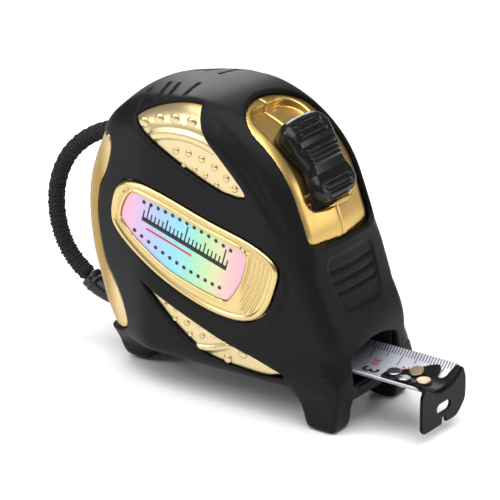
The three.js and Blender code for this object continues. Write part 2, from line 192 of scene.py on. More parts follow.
def makeGold(name, base, pale, rough, grainSize=3200):
    # deeper gold over the front and back; paler on the flanks as a painted reflection of the bright floor,
    # and darkest on the rear band as painted shade from the dark surroundings on that side
    look = Finish(name, "gold_plating")
    cloud = look.noise(40, 3.0)
    grain = look.noise(grainSize, 2.0)
    place = look.node("ShaderNodeSeparateXYZ", None, {"Vector": look.coords()})
    # painted reflection: the flanks, by their distance from the mid-plane, are mixed toward the pale tone
    flankPaintedReflection = look.node("ShaderNodeMapRange", {"interpolation_type": "SMOOTHSTEP"}, {
        "Value": look.node("ShaderNodeMath", {"operation": "ABSOLUTE"}, {0: place["Y"]}),
        "From Min": 0.0150, "From Max": 0.0185})
    # painted shade: the rear band, by x, is mixed toward half the base colour
    rear = look.node("ShaderNodeMapRange", None, {
        "Value": place["X"], "From Min": -0.047, "From Max": -0.052})
    shade = look.mix(flankPaintedReflection, look.shades(cloud, base, 0.93, 1.05), pale)
    shade = look.mix(rear, shade, tuple(v * 0.5 for v in base))
    look.set(Base_Color=shade, Metallic=1.0, Roughness=rough + (cloud - 0.5) * 0.06 + (grain - 0.5) * 0.06)
    look.bump(grain, 0.00002, 0.35)
    return look


def makePlain(name, slot, base, rough, grainSize=1800, depth=0.00002, spread=0.12, gloss=0.5):
    look = Finish(name, slot)
    grain = look.noise(grainSize, 3.0)
    cloud = look.noise(120, 2.0)
    look.set(Base_Color=look.shades(cloud, base, 1 - spread, 1 + spread), Specular_IOR_Level=gloss,
             Roughness=rough + (grain - 0.5) * 0.12 + (cloud - 0.5) * 0.06)
    look.bump(grain, depth, 0.5)
    return look


def makeBrushed(name, slot, base, rough, stretch=(40, 2200, 2200)):
    look = Finish(name, slot)
    lines = look.noise(1.0, 4.0, look.coords(stretch))
    look.set(Base_Color=look.shades(lines, base, 0.8, 1.1), Metallic=1.0,
             Roughness=rough + (lines - 0.5) * 0.2)
    look.bump(lines, 0.00001, 0.5)
    return look


finishes = dict(
    rubber=makeRubber("rubber", (0.0062, 0.0062, 0.0067), 0.47),
    softRubber=makeRubber("softRubber", (0.02, 0.02, 0.021), 0.7),
    # goldPlating's second colour is the pale tone of the flanks' painted reflection
    gold=makeGold("goldPlating", (0.70, 0.47, 0.155), (0.68, 0.555, 0.31), 0.35),
    paleGold=makeGold("paleGoldPlating", (0.66, 0.51, 0.24), (0.66, 0.51, 0.24), 0.30),
    plastic=makePlain("blackPlastic", "black_plastic", (0.006, 0.006, 0.0065), 0.27,
                      grainSize=6500, depth=0.000004, gloss=0.35),
    innerPlastic=makePlain("innerPlastic", "black_plastic", (0.03, 0.03, 0.032), 0.5),
    blackSteel=makePlain("blackCoatedSteel", "black_steel", (0.003, 0.003, 0.0034), 0.36,
                         grainSize=2600, depth=0.00003, gloss=0.1),
    steel=makeBrushed("brightSteel", "steel", (0.42, 0.42, 0.41), 0.33),
    bronze=makeBrushed("bronzeRivet", "bronze", (0.40, 0.32, 0.21), 0.38),
    webbing=makePlain("blackWebbing", "webbing", (0.008, 0.008, 0.009), 0.85, grainSize=5200,
                      depth=0.00008, spread=0.4),
    liner=makePlain("darkLiner", "black_plastic", (0.006, 0.006, 0.006), 0.6),
    blackInk=makePlain("blackInk", "blade_enamel", (0.012, 0.012, 0.014), 0.42),
    redInk=makePlain("redInk", "blade_enamel", (0.62, 0.045, 0.035), 0.42),
)


foilStops = [
    (0.0, (0.80, 0.30, 0.48)), (0.13, (0.52, 0.34, 0.66)), (0.26, (0.24, 0.42, 0.78)),
    (0.40, (0.11, 0.56, 0.76)), (0.53, (0.16, 0.64, 0.48)), (0.64, (0.36, 0.66, 0.26)),
    (0.74, (0.62, 0.58, 0.26)), (0.84, (0.74, 0.38, 0.38)), (1.0, (0.70, 0.22, 0.52)),
]


def makeEnamel():
    look = Finish("bladeEnamel", "blade_enamel")
    lines = look.noise(1.0, 3.0, look.coords((300, 2400, 2400)))
    cloud = look.noise(90, 2.0)
    look.set(Base_Color=look.mix(cloud, (0.55, 0.57, 0.66), (0.70, 0.71, 0.78)), Metallic=0.25,
             Roughness=0.3 + (lines - 0.5) * 0.12, Coat_Weight=0.5, Coat_Roughness=0.12)
    look.bump(lines, 0.00001, 0.3)
    return look


def makeFoil():
    # the colour runs along the label's length, tilted a little, through the foil's rainbow
    look = Finish("rainbowFoil", "foil_label")
    place = look.node("ShaderNodeSeparateXYZ", None, {"Vector": look.coords()})
    wobble = look.noise(160, 2.0)
    along = (place["X"] * 1000 - place["Z"] * 420 + 61.5) / 50.0 + (wobble - 0.5) * 0.05
    across = (place["Z"] * 1000 - 48) * 0.004
    ramp = look.node("ShaderNodeValToRGB", {"stops": foilStops}, {"Fac": along + across})
    sparkle = look.noise(3000, 2.0)
    look.set(Base_Color=look.mix(sparkle * 0.35, ramp["Color"], (0.95, 0.95, 0.95)), Metallic=0.2,
             Roughness=0.36, Coat_Weight=0.35, Coat_Roughness=0.08)
    look.bump(sparkle, 0.00001, 0.25)
    return look


finishes["enamel"] = makeEnamel()
finishes["foil"] = makeFoil()
print("finishes made")


# outlines and distance fields, in which a negative value is inside
def smoothClosed(points, steps=6):
    p = np.asarray(points, float)
    after, before = np.roll(p, -1, 0), np.roll(p, 1, 0)
    ahead = np.linalg.norm(after - p, axis=1)[:, None]
    behind = np.roll(ahead, 1, 0)
    slope = (after - before) / (ahead + behind)
    t = (np.arange(steps) / steps)[None, :, None]
    p0, p1 = p[:, None], after[:, None]
    m0, m1 = (slope * ahead)[:, None], (np.roll(slope, -1, 0) * ahead)[:, None]
    h = (2 * t**3 - 3 * t**2 + 1) * p0 + (t**3 - 2 * t**2 + t) * m0
    h = h + (-2 * t**3 + 3 * t**2) * p1 + (t**3 - t**2) * m1
    return h.reshape(-1, p.shape[1])


class Outline:
    # signed distance to a closed outline, worked out once on a fine raster and then read from it
    def __init__(self, points, steps=6, margin=14, cell=0.4):
        line = smoothClosed(points, steps) if steps > 1 else np.asarray(points, float)
        self.line = line
        self.low = line.min(0) - margin
        self.cell = cell
        count = np.ceil((line.max(0) + margin - self.low) / cell).astype(int) + 1
        gx, gz = np.meshgrid(self.low[0] + cell * np.arange(count[0]),
                             self.low[1] + cell * np.arange(count[1]), indexing="ij")
        best = np.full(gx.shape, 1e9)
        inside = np.zeros(gx.shape, bool)
        for (ax, az), (bx, bz) in zip(line, np.roll(line, -1, 0)):
            ex, ez = bx - ax, bz - az
            wx, wz = gx - ax, gz - az
            share = np.clip((wx * ex + wz * ez) / max(ex * ex + ez * ez, 1e-12), 0, 1)
            best = np.minimum(best, (wx - ex * share) ** 2 + (wz - ez * share) ** 2)
            if ez != 0:
                crosses = (az > gz) != (bz > gz)
                inside ^= crosses & (gx < ax + ex * (gz - az) / ez)
        self.grid = np.sqrt(best) * np.where(inside, -1, 1)

    def __call__(self, x, z):
        fx = np.clip((x - self.low[0]) / self.cell, 0, self.grid.shape[0] - 1.001)
        fz = np.clip((z - self.low[1]) / self.cell, 0, self.grid.shape[1] - 1.001)
        i, k = np.floor(fx).astype(int), np.floor(fz).astype(int)
        fx, fz = fx - i, fz - k
        g = self.grid
        return (g[i, k] * (1 - fx) * (1 - fz) + g[i + 1, k] * fx * (1 - fz)
                + g[i, k + 1] * (1 - fx) * fz + g[i + 1, k + 1] * fx * fz)


def roundMax(a, b, r):
    u, v = np.maximum(a + r, 0), np.maximum(b + r, 0)
    return np.minimum(np.maximum(a, b), -r) + np.sqrt(u * u + v * v)


def roundMin(a, b, r):
    return -roundMax(-a, -b, r)


def common(*fields):
    # where every shape is, so the largest distance
    return functools.reduce(np.maximum, fields)


def joined(*fields):
    return functools.reduce(np.minimum, fields)


def ease(x, low, high):
    t = np.clip((x - low) / (high - low), 0, 1)
    return t * t * (3 - 2 * t)


def arcDegree(radius):
    return math.radians(1) * radius


def softRamp(x, width):
    return width * np.logaddexp(0, x / width)


def turned(angle, radius, cx, cz):
    a = math.radians(angle)
    return [cx + radius * math.cos(a), cz + radius * math.sin(a)]


# surface nets: a closed mesh of the surface where a field is zero
edgeList = [(0, 1), (2, 3), (4, 5), (6, 7), (0, 2), (1, 3), (4, 6), (5, 7), (0, 4), (1, 5), (2, 6), (3, 7)]
cornerList = np.array([[c >> 2 & 1, c >> 1 & 1, c & 1] for c in range(8)])


def meshField(field, low, high, step, halfOnly=False):
    step = step * coarse
    low, high = np.array(low, float), np.array(high, float)
    count = np.ceil((high - low) / step).astype(int) + 1
    axes = [low[i] + step * np.arange(count[i]) for i in range(3)]
    if halfOnly:  # the last layer of cells straddles the mid-plane, so its vertices lie on it
        axes[1] = (np.arange(count[1]) - count[1] + 1.5) * step
    f = field(axes[0][:, None, None], axes[1][None, :, None], axes[2][None, None, :])
    f = np.broadcast_to(f, tuple(len(a) for a in axes))
    inside = f < 0
    nx, ny, nz = (len(a) - 1 for a in axes)
    corners = [inside[a:a + nx, b:b + ny, c:c + nz] for a, b, c in cornerList]
    total = sum(c.astype(np.int8) for c in corners)
    active = (total > 0) & (total < 8)
    i, j, k = np.nonzero(active)
    index = np.full(active.shape, -1)
    index[active] = np.arange(len(i))
    values = np.stack([f[i + a, j + b, k + c] for a, b, c in cornerList])
    place, hits = np.zeros((len(i), 3)), np.zeros(len(i))
    for a, b in edgeList:
        cut = (values[a] < 0) != (values[b] < 0)
        gap = np.where(cut, values[a] - values[b], 1)
        t = np.where(cut, values[a] / gap, 0)[:, None]
        place += np.where(cut[:, None], cornerList[a] + (cornerList[b] - cornerList[a]) * t, 0)
        hits += cut
    base = np.stack([axes[0][i], axes[1][j], axes[2][k]], 1)
    verts = base + place / hits[:, None] * step
    quads = []
    for axis in range(3):
        u, v = (axis + 1) % 3, (axis + 2) % 3
        a = np.moveaxis(inside, axis, 0)
        start, end = np.moveaxis(a[:-1], 0, axis), np.moveaxis(a[1:], 0, axis)
        e = np.stack(np.nonzero(start != end), 1)
        limit = [nx, ny, nz]
        ok = (e[:, u] > 0) & (e[:, v] > 0) & (e[:, u] < limit[u]) & (e[:, v] < limit[v])
        e = e[ok]
        cells = []
        for du, dv in ((-1, -1), (0, -1), (0, 0), (-1, 0)):
            c = e.copy()
            c[:, u] += du
            c[:, v] += dv
            cells.append(index[c[:, 0], c[:, 1], c[:, 2]])
        quad = np.stack(cells, 1)
        outward = inside[e[:, 0], e[:, 1], e[:, 2]]
        quads.append(np.where(outward[:, None], quad, quad[:, ::-1]))
    quads = np.concatenate(quads)
    onPlane = j == ny - 1 if halfOnly else None
    for _ in range(2):  # pulled onto the true surface, never far
        verts = pulled(field, verts, step)
        if halfOnly:
            verts[onPlane, 1] = 0
    return verts, quads


def pulled(field, verts, step):
    d = 0.05
    x, y, z = verts.T
    value = field(x, y, z)
    slope = np.stack([
        field(x + d, y, z) - field(x - d, y, z),
        field(x, y + d, z) - field(x, y - d, z),
        field(x, y, z + d) - field(x, y, z - d)], 1) / (2 * d)
    size = np.maximum((slope ** 2).sum(1), 0.2)
    move = slope * (value / size)[:, None]
    far = np.linalg.norm(move, axis=1)
    return verts - move * np.minimum(1, 0.45 * step / np.maximum(far, 1e-9))[:, None]


def fromBmesh(name, bm):
    mesh = bpy.data.meshes.new(name)
    bm.to_mesh(mesh)
    bm.free()
    return addObject(name, mesh)


def meshObject(name, verts, faces, smooth=True):
    mesh = bpy.data.meshes.new(name)
    faces = np.asarray(faces)
    mesh.vertices.add(len(verts))
    mesh.vertices.foreach_set("co", np.asarray(verts, np.float32).ravel())
    mesh.loops.add(faces.size)
    mesh.loops.foreach_set("vertex_index", faces.ravel().astype(np.int32))
    mesh.polygons.add(len(faces))
    mesh.polygons.foreach_set("loop_start", np.arange(0, faces.size, faces.shape[1], dtype=np.int32))
    mesh.update(calc_edges=True)
    mesh.validate()
    mesh.polygons.foreach_set("use_smooth", np.full(len(mesh.polygons), smooth))
    return addObject(name, mesh)


def closeSeam(piece, gap, facing):
    # caps the open loops on the mid-plane and keeps their edges sharp
    bm = bmesh.new()
    bm.from_mesh(piece.data)
    rim = [e for e in bm.edges if len(e.link_faces) == 1]
    if rim:
        bmesh.ops.triangle_fill(bm, use_beauty=True, use_dissolve=False, edges=rim, normal=(0, facing, 0))
        for e in rim:
            e.smooth = False
    for v in {v for e in rim for v in e.verts}:
        v.co.y -= facing * gap / 1000
    bm.to_mesh(piece.data)
    bm.free()
    return piece


def build(name, field, low, high, step, look, body, nodes=(), side=0, gap=None):
    # side 1 mirrors the piece to the right; with a gap it is one half, closed at the mid-plane
    verts, quads = meshField(field, low, high, step, halfOnly=gap is not None)
    verts = toRow(verts)
    if side > 0:
        verts[:, 1] *= -1
        quads = quads[:, ::-1]
    piece = meshObject(name, verts, quads)
    if gap is not None:
        closeSeam(piece, gap, -side)
    return dress(piece, look, body, nodes)


def dress(piece, look, body, nodes=()):
    piece.data.materials.clear()
    piece.data.materials.append(finishes[look].material)
    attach(piece, body)
    if nodes:
        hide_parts(*nodes)
    return piece


sides = ((-1, "left"), (1, "right"))

# the case's shape
case = dict(
    centre=[(20, 9.3), (40, 9.4), (53, 9.5), (55.2, 12), (56, 21), (55.6, 27), (54.2, 31.5), (51.2, 37.5),
            (49, 43), (47.2, 48), (45.6, 53.5), (44.3, 60)]
           + [tuple(turned(a, 43.7, 0.5, 52)) for a in (20, 30, 40, 50, 60, 70, 80)]
           + [tuple(turned(a, r, 0.5, 52)) for a, r in (
               (90, 43.5), (100, 43.8), (110, 45), (118, 46.2), (126, 46.6), (133, 46), (140, 44.6),
               (147, 43.4), (155, 42.9), (165, 42.8), (180, 43.2))]
           + [(-42.4, 40), (-39.8, 28), (-36.6, 17), (-33.6, 10.5), (-28, 8.8), (0, 9)],
    front=56.0, halfThick=22.8, crown=1.35, crownAt=18,
    foot=[(-37, 20), (-34.2, 9), (-32.9, 2.4), (-31, 0.5), (-26.5, 0.35), (-24, 1), (-17, 9),
          (-15, 14), (-26, 22)],
    leg=[(40.5, 14), (43, 5), (44.2, 1.3), (45.8, 0.3), (53.2, 0.3), (54.6, 1.3), (55.4, 6),
         (56, 14), (50, 20)],
    legMiddle=16.2, legHalf=4.4,
    cover=2.05, wall=2.0, rearFrom=-15, noseFrom=33, footTaper=([0, 8, 20], [9.5, 12, 15.5]),
    rearTaper=([0, 8, 20, 35, 60], [3.3, 2.5, 1.6, 1.2, 0.85]),
)
sideOutline = Outline(case["centre"])
footOutline = Outline(case["foot"], 4)
legOutline = Outline(case["leg"], 3)


def halfThickness(x, z):
    share = np.interp(z, *case["rearTaper"])
    rear = 0.24 * softRamp(case["rearFrom"] - x, 1.4) * share
    front = 0.135 * softRamp(x - case["noseFrom"], 1.5)
    return case["halfThick"] - rear - front


def edgeRadius(x, z):
    nose = ease(x, 34, 47) * (1 - ease(z, 48, 62))
    rear = ease(-x, 22, 33)
    return 9 - 5 * np.maximum(np.maximum(nose, rear), 1 - ease(z, 10, 30))


def bodyField(x, y, z):
    y = np.abs(y)
    crown = case["crown"] + 2.0 * ease(-x, 0, 20) * ease(z, 80, 92)
    shell = sideOutline(x, z) + crown * (y / case["crownAt"]) ** 2
    return roundMax(shell, y - halfThickness(x, z), edgeRadius(x, z))


def feetField(x, y, z):
    y = np.abs(y)
    foot = roundMax(footOutline(x, z), y - np.interp(z, *case["footTaper"]), 3)
    leg = roundMax(legOutline(x, z), np.abs(y - case["legMiddle"]) - case["legHalf"], 1.4)
    return np.minimum(foot, leg)


# windows in the rubber
windows = dict(
    upper=[(-19.8, 86.9), (-20.2, 90.5), (-16, 95), (-6, 99), (2.6, 99), (3.3, 94.4), (4.9, 91.2), (8, 86.2),
           (13.4, 80.9), (19.4, 75.1), (22.9, 71.2), (23, 69.5), (19.9, 68.8), (13.2, 69.6), (3.1, 73.2),
           (-7.3, 77.8), (-15.9, 83)],
    badge=[(-26.8, 55.5), (-24.8, 62.8), (-20.9, 66), (-12.2, 66), (10.2, 60.1), (25.2, 56.6), (33.2, 53),
           (35.8, 49.2), (34.7, 43.1), (31.5, 35.5), (26.7, 31.1), (19.3, 29.5), (7.8, 30.9), (-6.9, 36.2),
           (-18.6, 43.3), (-25.8, 50.2)],
    lower=[(-16, 34.2), (-12.6, 32.2), (-6.6, 29.5), (3.6, 25.6), (15.2, 21.6), (28.2, 18.6), (37.4, 15.2),
           (30, 13.6), (21.5, 13.8), (9.2, 15.4), (2.4, 18.7), (-4.7, 23.5), (-9.5, 27.8)],
    rear=[(-62, 76.5), (-46, 76), (-36, 77.4), (-30, 78), (-28.6, 76), (-28.7, 72), (-31.1, 64.6),
          (-33.6, 60.1), (-35, 54.4), (-35.5, 50.2), (-34.8, 42.3), (-32.6, 34.8), (-28.2, 28.2), (-25.4, 23),
          (-24.2, 18.5), (-24.6, 15), (-28, 12.6), (-34, 11.6), (-46, 11.2), (-62, 11.2)],
)
windowFields = {name: Outline(points, 5) for name, points in windows.items()}
thumb = dict(cx=4.0, cz=52.0, half=16.6, low=4.6, straight=60.0, high=79.2, slotHalf=11.6, slotLow=19.5,
             slotHigh=74.3, slotFloor=38.0, corner=4.5)


def around(x, z):
    dx, dz = x - thumb["cx"], z - thumb["cz"]
    return np.hypot(dx, dz), np.degrees(np.arctan2(dz, dx))


def windowField(x, y, z):
    # negative where the rubber is open, over all its windows
    a = np.abs(y)
    top = 15.6 + 0.0078 * (3 - np.minimum(x, 3)) ** 2
    upper = roundMax(windowFields["upper"](x, z), top - a, 1.0)
    badge = np.maximum(windowFields["badge"](x, z) + 0.1, 14 - a)
    lower = np.maximum(windowFields["lower"](x, z), 14 - a)
    return joined(upper, badge, lower, windowFields["rear"](x, z), thumbWindow(x, y, z))


def thumbWindow(x, y, z):
    a = np.abs(y)
    r, angle = around(x, z)
    mm = arcDegree(41.4)
    lowEnd = (thumb["low"] - angle) * mm
    straight = roundMax(lowEnd, a - thumb["half"], thumb["corner"])
    reach = (thumb["high"] - thumb["straight"]) * mm
    up = np.maximum(angle - thumb["straight"], 0) * mm
    ratio = np.sqrt((a / thumb["half"]) ** 2 + (up / reach) ** 2)
    end = (ratio - 1) * min(reach, thumb["half"]) * 0.95
    field = np.where(angle > thumb["straight"], end, straight)
    return np.maximum(field, 30 - r)


def slotField(x, y, z):
    a = np.abs(y)
    r, angle = around(x, z)
    mm = arcDegree(40)
    middle = (thumb["slotLow"] + thumb["slotHigh"]) / 2
    bow = 0.055 * np.maximum(a - 2, 0) ** 1.5  # the lower end is bowed, its corners higher
    low = (thumb["slotLow"] - angle) * mm + bow
    high = (angle - thumb["slotHigh"]) * mm
    ends = np.where(angle > middle, high, low)
    floor = thumb["slotFloor"] - 3.0 * (1 - ease(angle, 25, 29))
    corner = np.where(angle > middle, 7.0, 4.0)
    plan = roundMax(ends, a - thumb["slotHalf"], corner)
    return np.maximum(plan, floor - r)


mouth = dict(half=12.2, floor=12.9, top=25.9, start=40.0)
tunnel = dict(half=11.9, roof=9.3, start=38)
track = dict(half=7.4, low=11.7, high=16, start=34)


def mouthField(x, y, z):
    roof = mouth["top"] - 0.020 * y ** 2
    opening = roundMax(np.maximum(z - roof, mouth["floor"] - z), np.abs(y) - mouth["half"], 1.6)
    return np.maximum(opening, mouth["start"] - x)


def tunnelField(x, y, z):
    # the arch between the front feet, under the mouth
    return np.maximum(roundMax(z - tunnel["roof"], np.abs(y) - tunnel["half"], 7.5), tunnel["start"] - x)


def groove(distance, half, depth, soft=0.35):
    return depth * (1 - ease(np.abs(distance), half - soft / 2, half + soft))


def segment(u, v, a, b):
    ax, ay, bx, by = *a, *b
    ex, ey = bx - ax, by - ay
    t = np.clip(((u - ax) * ex + (v - ay) * ey) / (ex * ex + ey * ey), 0, 1)
    return np.hypot(u - ax - ex * t, v - ay - ey * t)


relief = dict(
    panelHalf=(10.2, 12.2), panelZ=(35.4, 51.6), panelDepth=0.55, panelGrooves=(47.4, 44.2, 41.0),
    facet=[(9, 92), (17, 88.5), (24, 83), (30, 75.5), (34.5, 68.5), (37.4, 61), (35.2, 60.6), (31, 65.5),
           (26, 71.5), (21, 77), (15, 83.5)],
    badgeFacet=[(36.4, 52.4), (39.6, 47), (39.6, 41), (36.4, 34.6), (31.6, 30.2), (34.6, 37), (36.9, 44)],
    topGrooves=[((-19.0, 18.6), (-20.2, 10.5)), ((-13.2, 16.8), (-15.8, 6.5)), ((-9.8, 15.6), (-12.2, 6.8)),
                ((-4.8, 14.4), (-6.0, 5.0))],
    legGrooves=[((43.4, 16.3), (57, 18)), ((45, 9.8), (58, 12.4)), ((46, 3.9), (58, 6.4))],
)
facetOutline = Outline(relief["facet"], 4)
badgeFacet = Outline(relief["badgeFacet"], 4)


def reliefDepth(x, y, z):
    # how far the rubber's face is pressed in by its ribs, grooves and facets
    a = np.abs(y)
    half = np.interp(z, relief["panelZ"], relief["panelHalf"])
    panel = roundMax(a - half, np.maximum(relief["panelZ"][0] - z, z - relief["panelZ"][1]), 3.5)
    front = ease(x, 40, 43)
    depth = relief["panelDepth"] * (1 - ease(panel, -0.5, 0.35)) * front
    for height in relief["panelGrooves"]:
        line = np.maximum(np.abs(z - height) - 0.1, panel + 0.9)
        depth = depth + groove(line, 0.28, 0.6) * front
    side = ease(a, 14, 17)
    facet = facetOutline(x, z)
    depth = depth + 0.55 * (1 - ease(facet, -1.6, 0.3)) * side
    depth = depth + 0.8 * (1 - ease(badgeFacet(x, z), -1.6, 0.15)) * side
    for start, end in relief["topGrooves"]:
        depth = depth + groove(segment(x, a, start, end), 0.25, 0.6) * ease(z, 82, 84)
    for start, end in relief["legGrooves"]:
        depth = depth + groove(segment(x, z, start, end), 0.3, 0.45) * ease(a, 15, 16.5)
    return depth


def coverField(x, y, z):
    body = bodyField(x, y, z)
    outer = roundMin(body + reliefDepth(x, y, z), feetField(x, y, z), 4.5)
    outer = roundMax(outer, -tunnelField(x, y, z), 0.8)
    inner = body + case["cover"]
    skin = np.maximum(outer, -inner)
    skin = roundMax(skin, -windowField(x, y, z), 0.55)
    skin = roundMax(skin, -mouthField(x, y, z), 0.7)
    return roundMax(skin, x - case["front"], 0.5)  # the hook closes against a flat front


screws = dict(places=[(-26.6, 25.0), (-26.6, 78.6), (8.5, 88.9), (46.5, 36.0)],
              seat=16.3, well=3.0, floor=15.6)


def screwWells(x, y, z):
    wells = [np.maximum(np.hypot(x - cx, z - cz) - screws["well"], screws["floor"] - np.abs(y))
             for cx, cz in screws["places"]]
    return joined(*wells)


def rightCoverField(x, y, z):
    return roundMax(coverField(x, y, z), -screwWells(x, y, z), 0.4)


def shellOuter(x, y, z):
    body = bodyField(x, y, z)
    rear = roundMax(body + 0.35, windowFields["rear"](x, z) + 0.35, 0.8)
    outer = roundMin(body + case["cover"] + 0.12, rear, 0.4)
    rim = roundMax(body + 1.5, thumbWindow(x, y, z) + 0.25, 0.5)
    flush = np.minimum(windowFields["upper"](x, z), windowFields["lower"](x, z)) + 0.12
    outer = joined(outer, rim, roundMax(body + 1.3, np.maximum(flush, 15 - np.abs(y)), 0.3))
    return roundMax(outer, -slotField(x, y, z), 0.7)


def seamGroove(y):
    return 0.22 * (1 - ease(np.abs(y), 0.1, 0.35))


arch = dict(cx=0.5, cz=53.1, high=(31.2, 66, 114.5, 1.75), low=(36.6, -88, -62, 1.1))


def archRib(x, z, radius, low, high, half):
    # one raised rib of the windows' gold, on a circle that the domes share
    r = np.hypot(x - arch["cx"], z - arch["cz"])
    angle = np.degrees(np.arctan2(z - arch["cz"], x - arch["cx"]))
    ends = np.maximum(low - angle, angle - high) * arcDegree(radius)
    return roundMax(np.abs(r - radius) - half, ends, half)


def shellField(x, y, z):
    outer = shellOuter(x, y, z)
    a = np.abs(y)
    side = ease(a, 15, 17)
    rib = archRib(x, z, *arch["high"])
    lowRib = archRib(x, z, *arch["low"])
    outer = outer - 0.75 * (1 - ease(rib, -1.2, 0.35)) * side - 0.7 * (1 - ease(lowRib, -0.9, 0.35)) * side
    apron = 1 - ease(around(x, z)[1], 14, 40)
    outer = outer + seamGroove(y) + 0.07 * np.minimum(a, 10) * apron * ease(x, 30, 36)
    inner = bodyField(x, y, z) + case["cover"] + case["wall"]
    holder = np.maximum(slotField(x, y, z) - 1.6, -bodyField(x, y, z) - 6)  # the slot's own floor and walls
    hollow = np.maximum(inner, -holder)
    return common(outer, -hollow, 1.3 - mouthField(x, y, z), -tailTrack(x, y, z))


def tailTrack(x, y, z):
    # the track that the hook's rivet tails run in when the blade is wound home
    return common(np.abs(y) - track["half"], track["low"] - z, z - track["high"], track["start"] - x)


def rightShellField(x, y, z):
    return np.maximum(shellField(x, y, z), -screwWells(x, y, z))


caseLow, caseHigh = (-48, -24.6, -1.5), (58.5, 0, 98.5)
for side, name in sides:
    build(name + "RubberCover", coverField if side < 0 else rightCoverField, caseLow, caseHigh, 0.55,
          "rubber", "case", [name + "_cover"], side, 0.02)
    build(name + "GoldShell", shellField if side < 0 else rightShellField, (-46, -24.6, 6), (58, 0, 98), 0.6,
          "gold", "case", [name + "_shell"], side, 0.05)
    print(name, "cover and shell made")


def linerField(x, y, z):
    opening = mouthField(np.maximum(x, mouth["start"] + 9), y, z)
    return common(opening - 1.1, -opening, -tailTrack(x, y, z), 37 - x, x - 53.2)


build("mouthLiner", linerField, (36.4, -14, 11), (54, 14, 28), 0.5, "liner", "case")

# badge and label
labelShape = dict(
    outline=[(-19.2, 62.0), (-21.6, 58), (-22.4, 53.4), (-19.6, 50.2), (-14.8, 46.4), (-5, 40.6), (7.8, 36.9),
             (15.5, 35.6), (17.8, 36.4), (20.8, 40.4), (23, 44.9), (24.2, 50.2), (23.6, 52.6), (17, 54.4),
             (8, 56.4), (-2, 59), (-12, 61.6), (-17.4, 62.8)],
    seat=22.55, face=22.85, rim=23.45, back=20.6, ribCentre=(-8, 56.5), ribFrom=33.4, ribPitch=1.6,
)
labelOutline = Outline(labelShape["outline"], 4, 10, 0.25)
badgeOutline = Outline(windows["badge"], 5, 6, 0.25)


def badgeField(x, y, z):
    a = np.abs(y)
    border, inside = badgeOutline(x, z) + 0.45, labelOutline(x, z)
    top = labelShape["rim"] - 0.45 * (1 - ease(-border, 0.0, 0.9)) ** 2
    top = top - 0.35 * np.exp(-((border + 2.1) / 0.42) ** 2) + 0.12 * np.exp(-((border + 1.1) / 0.6) ** 2)
    top = top + 0.15 * np.exp(-((inside - 0.8) / 0.4) ** 2)
    # the ribs follow the label's curved right edge
    r = np.hypot(x - labelShape["ribCentre"][0], z - labelShape["ribCentre"][1])
    ribs = 0.34 * np.cos(2 * np.pi * (r - labelShape["ribFrom"]) / labelShape["ribPitch"]) - 0.34
    zone = ease(x, 21, 23.5) * ease(-border, 2.2, 2.9) * ease(inside, 0.5, 1.0) * ease(z, 31, 34)
    top = top + ribs * zone - 0.1 * zone
    bar = np.maximum(np.abs(x + 22.4 - (z - 57) * 0.32) - 0.9, np.abs(z - 57.6) - 5)
    top = top - 0.3 * (1 - ease(np.abs(bar), 0.05, 0.35))
    top = np.where(inside < 0.15, labelShape["seat"], top)
    return common(a - top, labelShape["back"] - a, border)


for side, name in sides:
    build(name + "Badge", badgeField, (-28, -24.4, 28.6), (37, -20, 67), 0.30 / coarse, "paleGold", "case",
          [name + "_badge"], side)
print("badges made")


def flatPlate(name, line, front, back, side):
    # a thin plate with a side outline, its face towards the outside
    count = len(line)
    bm = bmesh.new()
    outer = [bm.verts.new(toRow((x, side * front, z))) for x, z in line]
    rear = [bm.verts.new(toRow((x, side * back, z))) for x, z in line]
    faceOut = bm.faces.new(outer)
    faceIn = bm.faces.new(rear)
    for i in range(count):
        bm.faces.new((outer[i], outer[(i + 1) % count], rear[(i + 1) % count], rear[i]))
    bmesh.ops.recalc_face_normals(bm, faces=bm.faces)
    bmesh.ops.triangulate(bm, faces=[faceOut, faceIn])
    return fromBmesh(name, bm)


for side, name in sides:
    shrink = labelOutline.line + (np.array([0, 49]) - labelOutline.line) * 0.012
    dress(flatPlate(name + "Label", shrink, labelShape["face"], labelShape["seat"] + 0.05, side),
          "foil", "case", [name + "_label"])
print("labels made")

# thumb slider
slider = dict(
    ends=(22.0, 60.5), half=10.2, bottom=38.9,
    grooves=(24.6, 28.4, 50.6, 54.6), ribs=(44.3, 42.5, 40.7, 38.9),
    top=[(21, 42.0), (23, 43.0), (27, 43.4), (31, 43.3), (34.5, 42.9), (37.5, 43.2), (40, 43.7), (43.5, 44.0),
         (46.4, 44.2), (48.5, 44.9), (52, 45.5), (56, 45.4), (59, 44.7), (61, 43.4)],
)
sliderTop = np.array(slider["top"])


def sliderField(x, y, z):
    a = np.abs(y)
    r, angle = around(x, z)
    mm = arcDegree(44)
    top = np.interp(angle, sliderTop[:, 0], sliderTop[:, 1]) - 0.006 * a ** 2
    waist = 1.3 * np.exp(-((angle - 38) / 5.5) ** 2)
    ends = np.maximum(slider["ends"][0] - angle, angle - slider["ends"][1]) * mm + 0.014 * a ** 2
    plan = roundMax(ends, a - slider["half"] + waist, 4.0)
    block = roundMax(r - top, plan, 2.2)
    for centre in slider["grooves"]:  # obround, two on each pad
        ring = roundMax(np.abs(angle - centre) * mm - 0.95, a - 6.3, 0.9)
        block = block + 0.55 * (1 - ease(np.abs(ring), 0.06, 0.46)) * (r > 41.5)
    for centre in slider["ribs"]:  # fine, in the waist
        rib = np.maximum(np.abs(angle - centre) * mm - 0.1, a - 6.8)
        block = block - 0.55 * (1 - ease(rib, 0.0, 0.45)) * (r > 41.5)
    return np.maximum(block, slider["bottom"] - r)


build("thumbSlider", sliderField, (18, -10.8, 64), (50, 10.8, 96), 0.24 / coarse, "plastic", "slider",
      ["lock_slider"])


trim = dict(angles=(19.6, 21.6), half=8.8, radii=(40.7, 41.6))


